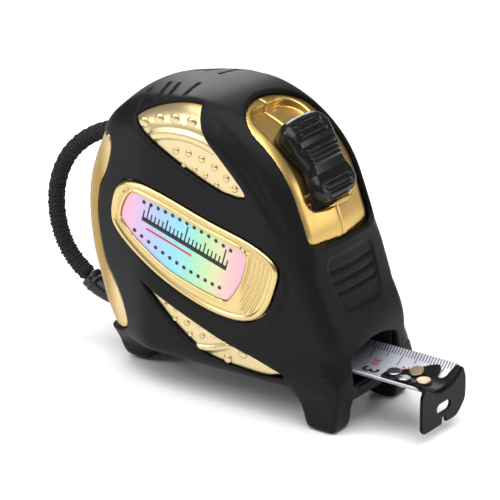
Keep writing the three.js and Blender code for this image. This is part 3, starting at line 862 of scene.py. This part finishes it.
def trimField(x, y, z):
    r, angle = around(x, z)
    mm = arcDegree(41)
    ends = np.maximum(trim["angles"][0] - angle, angle - trim["angles"][1]) * mm + 0.018 * y ** 2
    return roundMax(roundMax(ends, np.abs(y) - trim["half"], 0.5),
                    np.maximum(r - trim["radii"][1], trim["radii"][0] - r), 0.2)


build("sliderTrim", trimField, (38, -9.4, 62), (46, 9.4, 70), 0.25, "gold", "slider", ["slider_trim"])
print("slider made")

# end hook
hook = dict(thick=0.9, bend=0.8, slotZ=9.0, slotHalf=(3.6, 1.5), gap=0.15)
bladeShape = dict(radius=15.5, width=25.0, thick=0.3, edgeZ=18.3)
bladeHalf = bladeShape["width"] / 2 / bladeShape["radius"]
bladeAxis = bladeShape["edgeZ"] + bladeShape["radius"] * math.cos(bladeHalf)
hookPlate = Outline([(-12, 6.4), (-11.9, 5), (-10.6, 3.7), (-9.4, 3.5), (-2.0, 3.5), (-1.0, 3.6), (-0.6, 5.2),
                     (0.2, 6.2), (1.0, 5.2), (1.3, 3.8), (2.2, 3.5), (6.6, 3.5), (8.2, 4.2), (11, 6.6),
                     (12, 8.6), (12, 14.6), (11.4, 16.4), (10.4, 18.2), (0, 24), (-10.4, 18.2), (-11.4, 16.8),
                     (-12, 15)], 3, 6, 0.15)
wingPlan = Outline([(1.5, -10.9), (-3, -11), (-8, -9.8), (-13, -8), (-18, -5.2), (-20.2, -2.4), (-20.4, 0.4),
                    (-18.6, 2.6), (-14.6, 4.8), (-10.6, 7.2), (-8, 8.4), (-6.0, 8.6), (-5.3, 7.2),
                    (-5.0, 5.4), (-3.8, 4.6), (-2.6, 5.4), (-2.0, 8.2), (-0.6, 10.6), (1.5, 11)], 3, 6, 0.15)


def hookField(x, y, z):
    u = x - zeroX
    half = hook["thick"] / 2
    wing = np.sqrt(y ** 2 + (z - bladeAxis) ** 2)
    radius = bladeShape["radius"] - bladeShape["thick"] - hook["gap"] - half
    plate = u - half  # the plate's middle sheet; the wing's is the blade's hollow, less a gap
    above = radius - wing
    sheet = np.abs(roundMax(plate, above, hook["bend"])) - half
    limit = np.where(u > -0.9, hookPlate(y, z), wingPlan(u, y))
    slot = roundMax(np.abs(y) - hook["slotHalf"][0], np.abs(z - hook["slotZ"]) - hook["slotHalf"][1], 1.5)
    solid = roundMax(sheet, limit, 0.2)
    return roundMax(solid, -np.maximum(slot, -u - 2), 0.15)


build("endHook", hookField, (zeroX - 21.5, -12.6, 2.8), (zeroX + 1.6, 12.6, 20), 0.27, "blackSteel", "hook",
      ["end_hook"])
print("hook made")


# blade, with its scale laid on the hollow upper face
def bladePoint(x, along, lift):
    # a point on the blade, from the distance along its width and the height over its upper face
    angle = along / bladeShape["radius"]
    r = bladeShape["radius"] - bladeShape["thick"] - lift
    return (x, r * np.sin(angle), bladeAxis - r * np.cos(angle))


def loft(rings):
    # a skin over closed rings of points, still without its ends
    bm = bmesh.new()
    rows = [[bm.verts.new(toRow(p)) for p in ring] for ring in rings]
    count = len(rows[0])
    for low, high in zip(rows, rows[1:]):
        for j in range(count):
            k = (j + 1) % count
            bm.faces.new((low[j], low[k], high[k], high[j]))
    return bm, rows


def finishLoft(name, bm, sharpAngle):
    bmesh.ops.recalc_face_normals(bm, faces=bm.faces)
    for f in bm.faces:
        f.smooth = True
    for e in bm.edges:
        if len(e.link_faces) == 2 and e.calc_face_angle() > sharpAngle:
            e.smooth = False
    return fromBmesh(name, bm)


def makeBlade():
    end = zeroX - 1.8
    xs = np.linspace(-6, end, 60)
    widths = np.linspace(-12.5, 12.5, 41)
    ring = [(w, 0.0) for w in widths] + [(w, -bladeShape["thick"]) for w in widths[::-1]]
    rings = []
    for x in xs:
        narrow = 1 - 0.05 * max(0, x - end + 1.2) ** 2  # rounds the blade's last corners a little
        rings.append([bladePoint(x, w * narrow, lift) for w, lift in ring])
    bm, rows = loft(rings)
    count = len(ring)
    for row in (rows[0], rows[-1]):
        for j in range(count // 2 - 1):
            bm.faces.new([row[j], row[j + 1], row[count - 2 - j], row[count - 1 - j]])
    dress(finishLoft("tapeBlade", bm, 0.7), "enamel", "tape", ["blade"])


makeBlade()
print("blade made")


# geometry nodes; a tree's named inputs are set from the values given here
class Graph:
    def __init__(self, name, **inputs):
        self.tree = bpy.data.node_groups.new(name, "GeometryNodeTree")
        self.keys = {}
        face = self.tree.interface
        face.new_socket("Geometry", in_out="INPUT", socket_type="NodeSocketGeometry")
        kinds = {float: "NodeSocketFloat", int: "NodeSocketInt"}
        for label, value in inputs.items():
            kind = kinds.get(type(value), "NodeSocketMaterial")
            self.keys[label] = face.new_socket(label, in_out="INPUT", socket_type=kind).identifier
        face.new_socket("Geometry", in_out="OUTPUT", socket_type="NodeSocketGeometry")
        self.values = inputs
        self.source = self.tree.nodes.new("NodeGroupInput")
        self.target = self.tree.nodes.new("NodeGroupOutput")

    def input(self, label="Geometry"):
        return self.source.outputs[label]

    def node(self, kind, settings=None, sockets=None, out=0):
        made = self.tree.nodes.new(kind)
        for name, value in (settings or {}).items():
            setattr(made, name, value)
        for name, value in (sockets or {}).items():
            if hasattr(value, "is_output"):
                self.tree.links.new(value, made.inputs[name])
            else:
                made.inputs[name].default_value = value
        return made.outputs[out]

    def math(self, operation, a, b=0.0):
        return self.node("ShaderNodeMath", {"operation": operation}, {0: a, 1: b})

    def attribute(self, name, kind="FLOAT_VECTOR"):
        return self.node("GeometryNodeInputNamedAttribute", {"data_type": kind}, {"Name": name})

    def scatter(self, shape, turned=True, **sockets):
        # the shape on each source point, turned by the point's own attribute
        if turned:
            sockets["Rotation"] = self.node("FunctionNodeEulerToRotation", None, {
                "Euler": self.attribute("turn")})
        return self.node("GeometryNodeInstanceOnPoints", None, {
            "Points": self.input(), "Instance": shape, **sockets})

    def join(self, shapes):
        made = self.tree.nodes.new("GeometryNodeJoinGeometry")
        for shape in shapes:
            self.tree.links.new(shape, made.inputs[0])
        return made.outputs[0]

    def close(self, geometry):
        real = self.node("GeometryNodeRealizeInstances", None, {"Geometry": geometry})
        done = self.node("GeometryNodeSetMaterial", None, {
            "Geometry": real, "Material": self.input("Material")})
        self.tree.links.new(done, self.target.inputs[0])

    def grow(self, name, source, smooth=True):
        # runs the tree on a source object and keeps the result as a plain mesh
        modifier = source.modifiers.new("grow", "NODES")
        modifier.node_group = self.tree
        for label, key in self.keys.items():
            modifier[key] = self.values[label]
        bpy.context.view_layer.update()
        shape = source.evaluated_get(bpy.context.evaluated_depsgraph_get())
        mesh = bpy.data.meshes.new_from_object(shape)
        mesh.name = name
        source.modifiers.remove(modifier)
        bpy.data.objects.remove(source)
        mesh.polygons.foreach_set("use_smooth", np.full(len(mesh.polygons), smooth))
        return addObject(name, mesh)


def pointSet(name, points, **attributes):
    mesh = bpy.data.meshes.new(name)
    mesh.from_pydata([tuple(toRow(p)) for p in points], [], [])
    for label, values in attributes.items():
        kind = "FLOAT_VECTOR" if np.ndim(values) == 2 else "FLOAT"
        made = mesh.attributes.new(label, kind, "POINT")
        made.data.foreach_set("vector" if kind == "FLOAT_VECTOR" else "value",
                              np.asarray(values, np.float32).ravel())
    return addObject(name, mesh)


domes = dict(
    rows=[(35.7, (115.7, 106.4, 97, 87), 1.8), (26.1, (107, 97, 86.6, 76, 65, 54, 45), 1.1),
          (21.8, (91, 80, 69, 57, 47), 0.85), (26.2, (-116, -107, -98.5), 0.7),
          (29.2, (-107, -98, -89, -80), 0.95), (32.7, (-95, -87, -79, -71), 0.95),
          (40.4, (-76, -67, -58), 1.5)],
    height=0.46,
)


def domeTree(look):
    graph = Graph("raisedDomes", Height=domes["height"], Material=finishes[look].material)
    ball = graph.node("GeometryNodeMeshIcoSphere", None, {"Radius": 1.0, "Subdivisions": 3})
    size = graph.attribute("size", "FLOAT")
    height = graph.math("MULTIPLY", size, graph.input("Height"))
    scale = graph.node("ShaderNodeCombineXYZ", None, {"X": size, "Y": height, "Z": size})
    graph.close(graph.scatter(ball, False, Scale=scale))
    return graph


def domePoints(side):
    x, z, size = [], [], []
    for radius, angles, width in domes["rows"]:
        for angle in angles:
            px, pz = turned(angle, radius, arch["cx"], arch["cz"])
            x.append(px), z.append(pz), size.append(width)
    x, z, size = np.array(x), np.array(z), np.array(size)
    clear = np.minimum(windowFields["upper"](x, z), windowFields["lower"](x, z)) < -0.45 * size
    x, z, size = x[clear], z[clear], size[clear]
    y = np.full(len(x), -21.0)
    for _ in range(6):
        y = y + np.clip(shellOuter(x, y, z), -1, 1)
    return np.stack([x, (y - 0.1) * -side, z], 1), size / 1000


for side, name in sides:
    points, size = domePoints(side)
    grown = domeTree("gold").grow(name + "ShellDomes", pointSet("domePoints", points, size=size))
    dress(grown, "gold", "case")
print("domes made")

# scale on the blade
scale = dict(first=1, last=66, lines=(2.65, 4.2, 6.4), width=0.3, lift=0.03, edge=12.35)


def tickTree():
    radius = bladeShape["radius"] - bladeShape["thick"] - scale["lift"]
    graph = Graph("scaleLines", Radius=float(radius / 1000), Axis=float(bladeAxis / 1000),
                  Material=finishes["blackInk"].material)
    grid = graph.node("GeometryNodeMeshGrid", None, {
        "Size X": 1.0, "Size Y": 1.0, "Vertices X": 2, "Vertices Y": 9})
    placed = graph.scatter(grid, False, Scale=graph.attribute("size"))
    real = graph.node("GeometryNodeRealizeInstances", None, {"Geometry": placed})
    x, across, _ = graph.node("ShaderNodeSeparateXYZ", None, {
        "Vector": graph.node("GeometryNodeInputPosition")}).node.outputs
    angle = graph.math("DIVIDE", across, graph.input("Radius"))
    y = graph.math("MULTIPLY", graph.math("SINE", angle), graph.input("Radius"))
    drop = graph.math("MULTIPLY", graph.math("COSINE", angle), graph.input("Radius"))
    z = graph.math("SUBTRACT", graph.input("Axis"), drop)
    wrapped = graph.node("ShaderNodeCombineXYZ", None, {"X": x, "Y": y, "Z": z})
    laid = graph.node("GeometryNodeSetPosition", None, {"Geometry": real, "Position": wrapped})
    graph.close(laid)
    return graph


def makeTicks():
    points, sizes = [], []
    for mark in range(scale["first"], scale["last"]):
        length = scale["lines"][2 if mark % 10 == 0 else 1 if mark % 5 == 0 else 0]
        points.append((zeroX - mark, scale["edge"] - length / 2, 0))
        sizes.append((scale["width"] / 1000, length / 1000, 1))
    grown = tickTree().grow("scaleLines", pointSet("tickPoints", points, size=np.array(sizes)), False)
    dress(grown, "blackInk", "tape")


makeTicks()


def makeNumeral(name, text, size, x, along, look, turn=-90):
    font = bpy.data.curves.new(name, "FONT")
    font.body = text
    font.size = size
    font.align_x, font.align_y = "CENTER", "CENTER"
    font.resolution_u = 6
    font.offset = size * 0.018
    source = addObject(name, font)
    bpy.context.view_layer.update()
    mesh = bpy.data.meshes.new_from_object(source.evaluated_get(bpy.context.evaluated_depsgraph_get()))
    bpy.data.objects.remove(source)
    bm = bmesh.new()
    bm.from_mesh(mesh)
    bmesh.ops.triangulate(bm, faces=bm.faces)
    bmesh.ops.subdivide_edges(bm, edges=[e for e in bm.edges if e.calc_length() > size * 0.12], cuts=2,
                              use_grid_fill=True)
    c, s = math.cos(math.radians(turn)), math.sin(math.radians(turn))
    for v in bm.verts:
        px, py = v.co.x * c - v.co.y * s, v.co.x * s + v.co.y * c
        v.co = Vector(toRow(bladePoint(x + px, along + py, scale["lift"] + 0.01)))
    dress(fromBmesh(name, bm), look, "tape")


for number in range(1, 7):
    makeNumeral(f"numeral{number}", str(number), 7.6, zeroX - 10 * number + 3.6, 0.6, "blackInk")
    makeNumeral(f"smallNumeral{number}", str(number * 10), 3.2, zeroX - 10 * number + 3.2, 5.2, "redInk")
print("scale made")

# dots and a plain ruler motif on the labels
motif = dict(
    upper=[(-13.9, 60.4), (18.4, 52.2)], lower=[(-17.6, 50.4), (14.2, 39.2)], dots=13, dotSize=0.66, bow=1.5,
    ruler=[(-14.5, 55.0), (16.5, 46.0)], thick=1.5, ticks=23, long=6.0, middle=4.2, short=2.9, under=4.6,
)


def markTree(kind, look):
    graph = Graph("labelMarks", Material=finishes[look].material)
    if kind == "dot":
        shape = graph.node("GeometryNodeMeshCircle", {"fill_type": "NGON"}, {"Vertices": 16, "Radius": 1.0})
    else:
        shape = graph.node("GeometryNodeMeshGrid", None, {
            "Size X": 1.0, "Size Y": 1.0, "Vertices X": 2, "Vertices Y": 2})
    graph.close(graph.scatter(shape, Scale=graph.attribute("size")))
    return graph


def makeMarks(side, name):
    y = side * (labelShape["face"] + 0.03)
    facing = math.pi / 2 if side < 0 else -math.pi / 2
    dots = []
    for start, end in (motif["upper"], motif["lower"]):
        for i in range(motif["dots"]):
            t = i / (motif["dots"] - 1)
            sag = motif["bow"] * (1 - (2 * t - 1) ** 2) * (0.6 if start is motif["upper"][0] else -0.9)
            dots.append((start[0] + (end[0] - start[0]) * t, y, start[1] + (end[1] - start[1]) * t + sag))
    size = np.full((len(dots), 3), motif["dotSize"] / 1000)
    grown = markTree("dot", "blackInk").grow(name + "LabelDots", pointSet(
        "dotPoints", dots, size=size, turn=np.array([(facing, 0, 0)] * len(dots))), False)
    dress(grown, "blackInk", "case")
    (ax, az), (bx, bz) = motif["ruler"]
    length = math.hypot(bx - ax, bz - az)
    slope = math.atan2(bz - az, bx - ax)
    nx, nz = -math.sin(slope), math.cos(slope)
    bars = [((ax + bx) / 2, (az + bz) / 2, length + 0.4, motif["thick"])]
    for i in range(motif["ticks"]):
        t = i / (motif["ticks"] - 1)
        tall = motif["long"] if i % 10 == 1 else motif["middle"] if i % 5 == 1 else motif["short"]
        bars.append((ax + (bx - ax) * t + nx * tall / 2, az + (bz - az) * t + nz * tall / 2, 0.5, tall))
    turn = [(facing, -slope, 0)] * len(bars)
    points = [(x, y, z) for x, z, _, _ in bars]
    sizes = np.array([(w / 1000, h / 1000, 1) for _, _, w, h in bars])
    ruler = markTree("bar", "blackInk").grow(name + "LabelRuler", pointSet(
        "barPoints", points, size=sizes, turn=np.array(turn)), False)
    dress(ruler, "blackInk", "case")
    shift = -motif["under"] * 0.55
    red = [((ax + bx) / 2 - 5 + nx * shift, y, (az + bz) / 2 + 1.45 + nz * shift)]
    line = markTree("bar", "redInk").grow(name + "LabelLine", pointSet(
        "linePoint", red, size=np.array([(length * 0.55 / 1000, 0.0007, 1)]), turn=np.array(turn[:1])), False)
    dress(line, "redInk", "case")


for side, name in sides:
    makeMarks(side, name)
print("label marks made")

# rivets and screws
fasteners = dict(
    rivets=[(67.8, 4.2), (72.8, 0.4), (61.9, 0.8), (66.9, -1.7)],
    head=[(0, 0), (2.35, 0), (2.35, 0.5), (2.1, 0.74), (0, 0.8)],
    tail=[(0, 0), (1.9, 0), (1.9, -0.5), (1.2, -0.9), (0, -1.0)],
    screw=[(0, 0), (2.55, 0), (2.55, 0.9), (2.25, 1.2), (0, 1.3)], recess=(2.7, 0.62),
)


def latheTree(name, look, profile, sides):
    # a turned head, stacked from open cones along its profile
    graph = Graph(name, Sides=sides, Material=finishes[look].material)
    parts = []
    for (r0, z0), (r1, z1) in zip(profile, profile[1:]):
        if abs(z1 - z0) < 1e-9:
            continue
        (low, rLow), (high, rHigh) = sorted([(z0, r0), (z1, r1)])
        cone = graph.node("GeometryNodeMeshCone", {"fill_type": "NONE"}, {
            "Vertices": graph.input("Sides"), "Radius Bottom": rLow / 1000, "Radius Top": rHigh / 1000,
            "Depth": (high - low) / 1000})
        parts.append(graph.node("GeometryNodeTransform", None, {
            "Geometry": cone, "Translation": (0, 0, low / 1000)}))
    base = graph.node("GeometryNodeMeshCircle", {"fill_type": "NGON"}, {
        "Vertices": graph.input("Sides"), "Radius": profile[1][0] / 1000})
    if profile[-1][1] > 0:
        base = graph.node("GeometryNodeFlipFaces", None, {"Mesh": base})
    merged = graph.node("GeometryNodeMergeByDistance", None, {
        "Geometry": graph.join(parts + [base]), "Distance": 1e-6})
    graph.close(graph.scatter(merged))
    return graph


def makeRivets(name, chosen, look, nodes):
    heads, tails, turns = [], [], []
    for x, y in chosen:
        under = bladeAxis - math.sqrt(bladeShape["radius"] ** 2 - y ** 2)
        heads.append((x, y, under + bladeShape["thick"] + hook["gap"] + hook["thick"] + 0.12))
        tails.append((x, y, under - 0.05))
        turns.append((math.asin(y / bladeShape["radius"]), 0, 0))
    top = latheTree(name + "Heads", look, fasteners["head"], 28).grow(
        name, pointSet("rivetPoints", heads, turn=np.array(turns)))
    low = latheTree(name + "Tails", look, fasteners["tail"], 28).grow(
        name + "Tails", pointSet("rivetPoints", tails, turn=np.array(turns)))
    for piece in (top, low):
        piece.data.set_sharp_from_angle(angle=math.radians(40))
    dress(top, look, "tape", nodes)
    dress(low, look, "tape")


makeRivets("bronzeRivets", fasteners["rivets"][:2], "bronze", ["hook_rivet_1", "hook_rivet_2"])
makeRivets("steelRivets", fasteners["rivets"][2:], "steel", ["hook_rivet_3", "hook_rivet_4"])

screwPoints = [(x, screws["seat"] + 0.2, z) for x, z in screws["places"]]
screwHeads = latheTree("screwHeads", "steel", fasteners["screw"], 24).grow(
    "caseScrewHeads", pointSet("screwPoints", screwPoints, turn=np.array([(-math.pi / 2, 0, 0)] * 4)))
screwHeads.data.set_sharp_from_angle(angle=math.radians(40))
dress(screwHeads, "steel", "case")


def crossTree():
    # the driver's cross recess as painted shade: a dark flat cross a hair over each head, where the real
    # recess is a hollow
    graph = Graph("crossRecessPaintedShade", Long=fasteners["recess"][0] / 1000, Wide=fasteners["recess"][1] / 1000,
                  Material=finishes["liner"].material)
    bars = []
    for long, wide in (("Long", "Wide"), ("Wide", "Long")):
        size = graph.node("ShaderNodeCombineXYZ", None, {
            "X": graph.input(long), "Y": graph.input(wide), "Z": 0.0002})
        bars.append(graph.node("GeometryNodeMeshCube", None, {"Size": size}))
    turn = graph.node("FunctionNodeEulerToRotation", None, {"Euler": (math.pi / 2, 0.5, 0)})
    graph.close(graph.scatter(graph.join(bars), False, Rotation=turn))
    return graph


# painted shade: a dark cross over each screw head stands in for its recess
crossPoints = [(x, y + 1.26, z) for x, y, z in screwPoints]
dress(crossTree().grow("screwRecessPaintedShade", pointSet("crossPoints", crossPoints), False), "liner", "case")
print("fasteners made")

# hand strap
strap = dict(
    route=[(-35.4, 71), (-40, 71.2), (-44.6, 70.4), (-49.4, 68.2), (-55, 64.4), (-60, 59.2), (-63.6, 53),
           (-65.6, 46), (-65.8, 39), (-64.6, 32.8), (-62, 27.2), (-58.2, 22.8), (-53.6, 19.6)],
    width=5.1, thick=4.7, pitch=1.15, around=13, high=0.34, across=0.62, along=0.5,
    ferrule=[(-51.2, 21.5), (-52.9, 19.6), (-54.7, 16.9), (-52.6, 15.4), (-49.5, 13.8), (-43, 12.3),
             (-34, 12.3), (-33.4, 14.8), (-34, 17.3), (-42, 17.5), (-47.4, 19.1)],
)


def strapLine(steps):
    p = np.array(strap["route"], float)
    ext = np.vstack([2 * p[0] - p[1], p, 2 * p[-1] - p[-2]])
    out = []
    for i in range(1, len(ext) - 2):
        for s in range(steps):
            t = s / steps
            a, b, c, d = ext[i - 1], ext[i], ext[i + 1], ext[i + 2]
            out.append(0.5 * (2 * b + (c - a) * t + (2 * a - 5 * b + 4 * c - d) * t * t
                              + (3 * b - a - 3 * c + d) * t ** 3))
    out.append(p[-1])
    return np.array(out)


def makeStrap():
    line = strapLine(8)
    tangent = np.gradient(line, axis=0)
    tangent /= np.linalg.norm(tangent, axis=1)[:, None]
    normal = np.stack([-tangent[:, 1], tangent[:, 0]], 1)
    turns = [2 * math.pi * s / 20 for s in range(20)]
    rings = []
    for p, n in zip(line, normal):
        ring = [(math.cos(a) * strap["width"] / 2, math.sin(a) * strap["thick"] / 2) for a in turns]
        rings.append([(p[0] + n[0] * t, w, p[1] + n[1] * t) for w, t in ring])
    bm, rows = loft(rings)
    bm.faces.new(rows[0])
    bm.faces.new(rows[-1])
    return dress(finishLoft("strapCore", bm, math.pi), "webbing", "case", ["hand_strap"]), line


strapCore, strapPath = makeStrap()


def weaveTree():
    graph = Graph("strapWeave", Across=strap["across"], Along=strap["along"], High=strap["high"],
                  Material=finishes["webbing"].material)
    ball = graph.node("GeometryNodeMeshUVSphere", None, {"Segments": 8, "Rings": 5, "Radius": 0.001})
    size = graph.node("ShaderNodeCombineXYZ", None, {
        "X": graph.input("High"), "Y": graph.input("Across"), "Z": graph.input("Along")})
    graph.close(graph.scatter(ball, Scale=size))
    return graph


def makeWeave():
    line = strapPath
    length = np.concatenate([[0], np.cumsum(np.linalg.norm(np.diff(line, axis=0), axis=1))])
    points, turns = [], []
    for row in range(int(length[-1] / strap["pitch"])):
        s = strap["pitch"] * (row + 0.5)
        x, dx, z, dz = [value for column in line.T for value in (
            np.interp(s, length, column),
            np.interp(s + 0.3, length, column) - np.interp(s - 0.3, length, column))]
        tilt = math.atan2(dx, dz)
        outward = Vector((math.cos(tilt), 0, -math.sin(tilt)))
        swell = 0.12 * math.cos(2 * math.pi * s / 3.2)  # the weave's slow pulse along the cord
        for stitch in range(strap["around"]):
            a = 2 * math.pi * (stitch + 0.5 * (row % 2)) / strap["around"]
            out = outward * math.cos(a) * (strap["thick"] / 2 + swell) + Vector((0, math.sin(a), 0)) * (
                strap["width"] / 2 + swell)
            points.append((x + out.x, out.y, z + out.z))
            frameTurn = Matrix.Rotation(tilt, 3, "Y") @ Matrix.Rotation(a, 3, "Z")
            turns.append(tuple(frameTurn.to_euler()))
    grown = weaveTree().grow("strapWeave", pointSet("weavePoints", points, turn=np.array(turns)))
    return dress(grown, "webbing", "case")


strapWeave = makeWeave()
ferruleOutline = Outline(strap["ferrule"], 4, 6, 0.25)


def ferruleField(x, y, z):
    body = roundMax(ferruleOutline(x, z), np.abs(y) - 3.25, 2.2)
    collar = roundMax(np.abs((x + 50.4) * 0.8 - (z - 17.4) * 0.6) - 0.45, body - 0.28, 0.25)
    return np.minimum(body, collar)


strapFerrule = build("strapFerrule", ferruleField, (-57, -5.6, 11), (-32.5, 5.6, 22), 0.33, "plastic", "case",
                     ["strap_ferrule"])
pathPoints = [list(toRow((x, 0, z))) for x, z in strapPath]

# carried-over nodes
carried = dict(
    blade_coil="enamel", reel_drum="innerPlastic", reel_flange="innerPlastic", power_spring="steel",
    axle_post="steel", left_reel_bush="innerPlastic", right_reel_bush="innerPlastic", detent_spring="steel",
    brake_arm="innerPlastic", brake_pin="steel", brake_pad="softRubber", mouth_bumper="softRubber",
    mouth_guide="innerPlastic", strap_pin="steel", case_screw_1="steel", case_screw_2="steel",
    case_screw_3="steel", case_screw_4="steel",
)
for node, look in carried.items():
    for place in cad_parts[node].material_slots:
        place.material = finishes[look].material

# floor, light and finish
stage = dict(floor=4.0, tone=(0.93, 0.93, 0.93), sky=[(0.0, 0.34), (0.2, 0.14), (0.6, 0.12), (1.0, 0.2)])


def makeStage():
    floor = meshObject("floor", np.array([(-1, -1, 0), (1, -1, 0), (1, 1, 0), (-1, 1, 0)]) * stage["floor"]
                       - np.array([0, 0, 0.0002]), [(0, 1, 2, 3)], False)
    look = Finish("paleFloor", "")
    look.set(Base_Color=stage["tone"], Roughness=0.9, Specular_IOR_Level=0.1)
    floor.data.materials.append(look.material)
    world = bpy.data.worlds.new("studio")
    bpy.context.scene.world = world
    world.use_nodes = True
    sky = Nodes(world.node_tree)
    facing = sky.node("ShaderNodeTexCoord")["Generated"]
    height = sky.node("ShaderNodeSeparateXYZ", None, {"Vector": facing})["Z"]
    stops = [(at, (tone,) * 3) for at, tone in stage["sky"]]
    ramp = sky.node("ShaderNodeValToRGB", {"stops": stops}, {"Fac": height})
    background = sky.tree.nodes["Background"]
    sky.tree.links.new(ramp["Color"].out, background.inputs["Color"])
    background.inputs["Strength"].default_value = 1.0


lamps = [
    ("topLamp", (0.2, -0.3, 2.2), (0, 0, 0.0), 3.0, 92),
    ("keyLamp", (-0.9, -1.1, 0.9), (0, 0, 0.05), 0.6, 9),
    ("rearLamp", (-0.9, 1.1, 0.6), (0, 0, 0.05), 0.5, 6),
    ("frontLamp", (1.3, 0.9, 0.5), (0, 0, 0.05), 0.4, 3),
]


def makeLamps():
    for name, place, aim, size, power in lamps:
        lamp = bpy.data.lights.new(name, "AREA")
        lamp.energy = power
        lamp.size = size
        piece = addObject(name, lamp)
        piece.location = place
        piece.rotation_euler = (Vector(place) - Vector(aim)).to_track_quat("Z", "Y").to_euler()


makeStage()
makeLamps()
bpy.context.scene.view_settings.view_transform = "Standard"
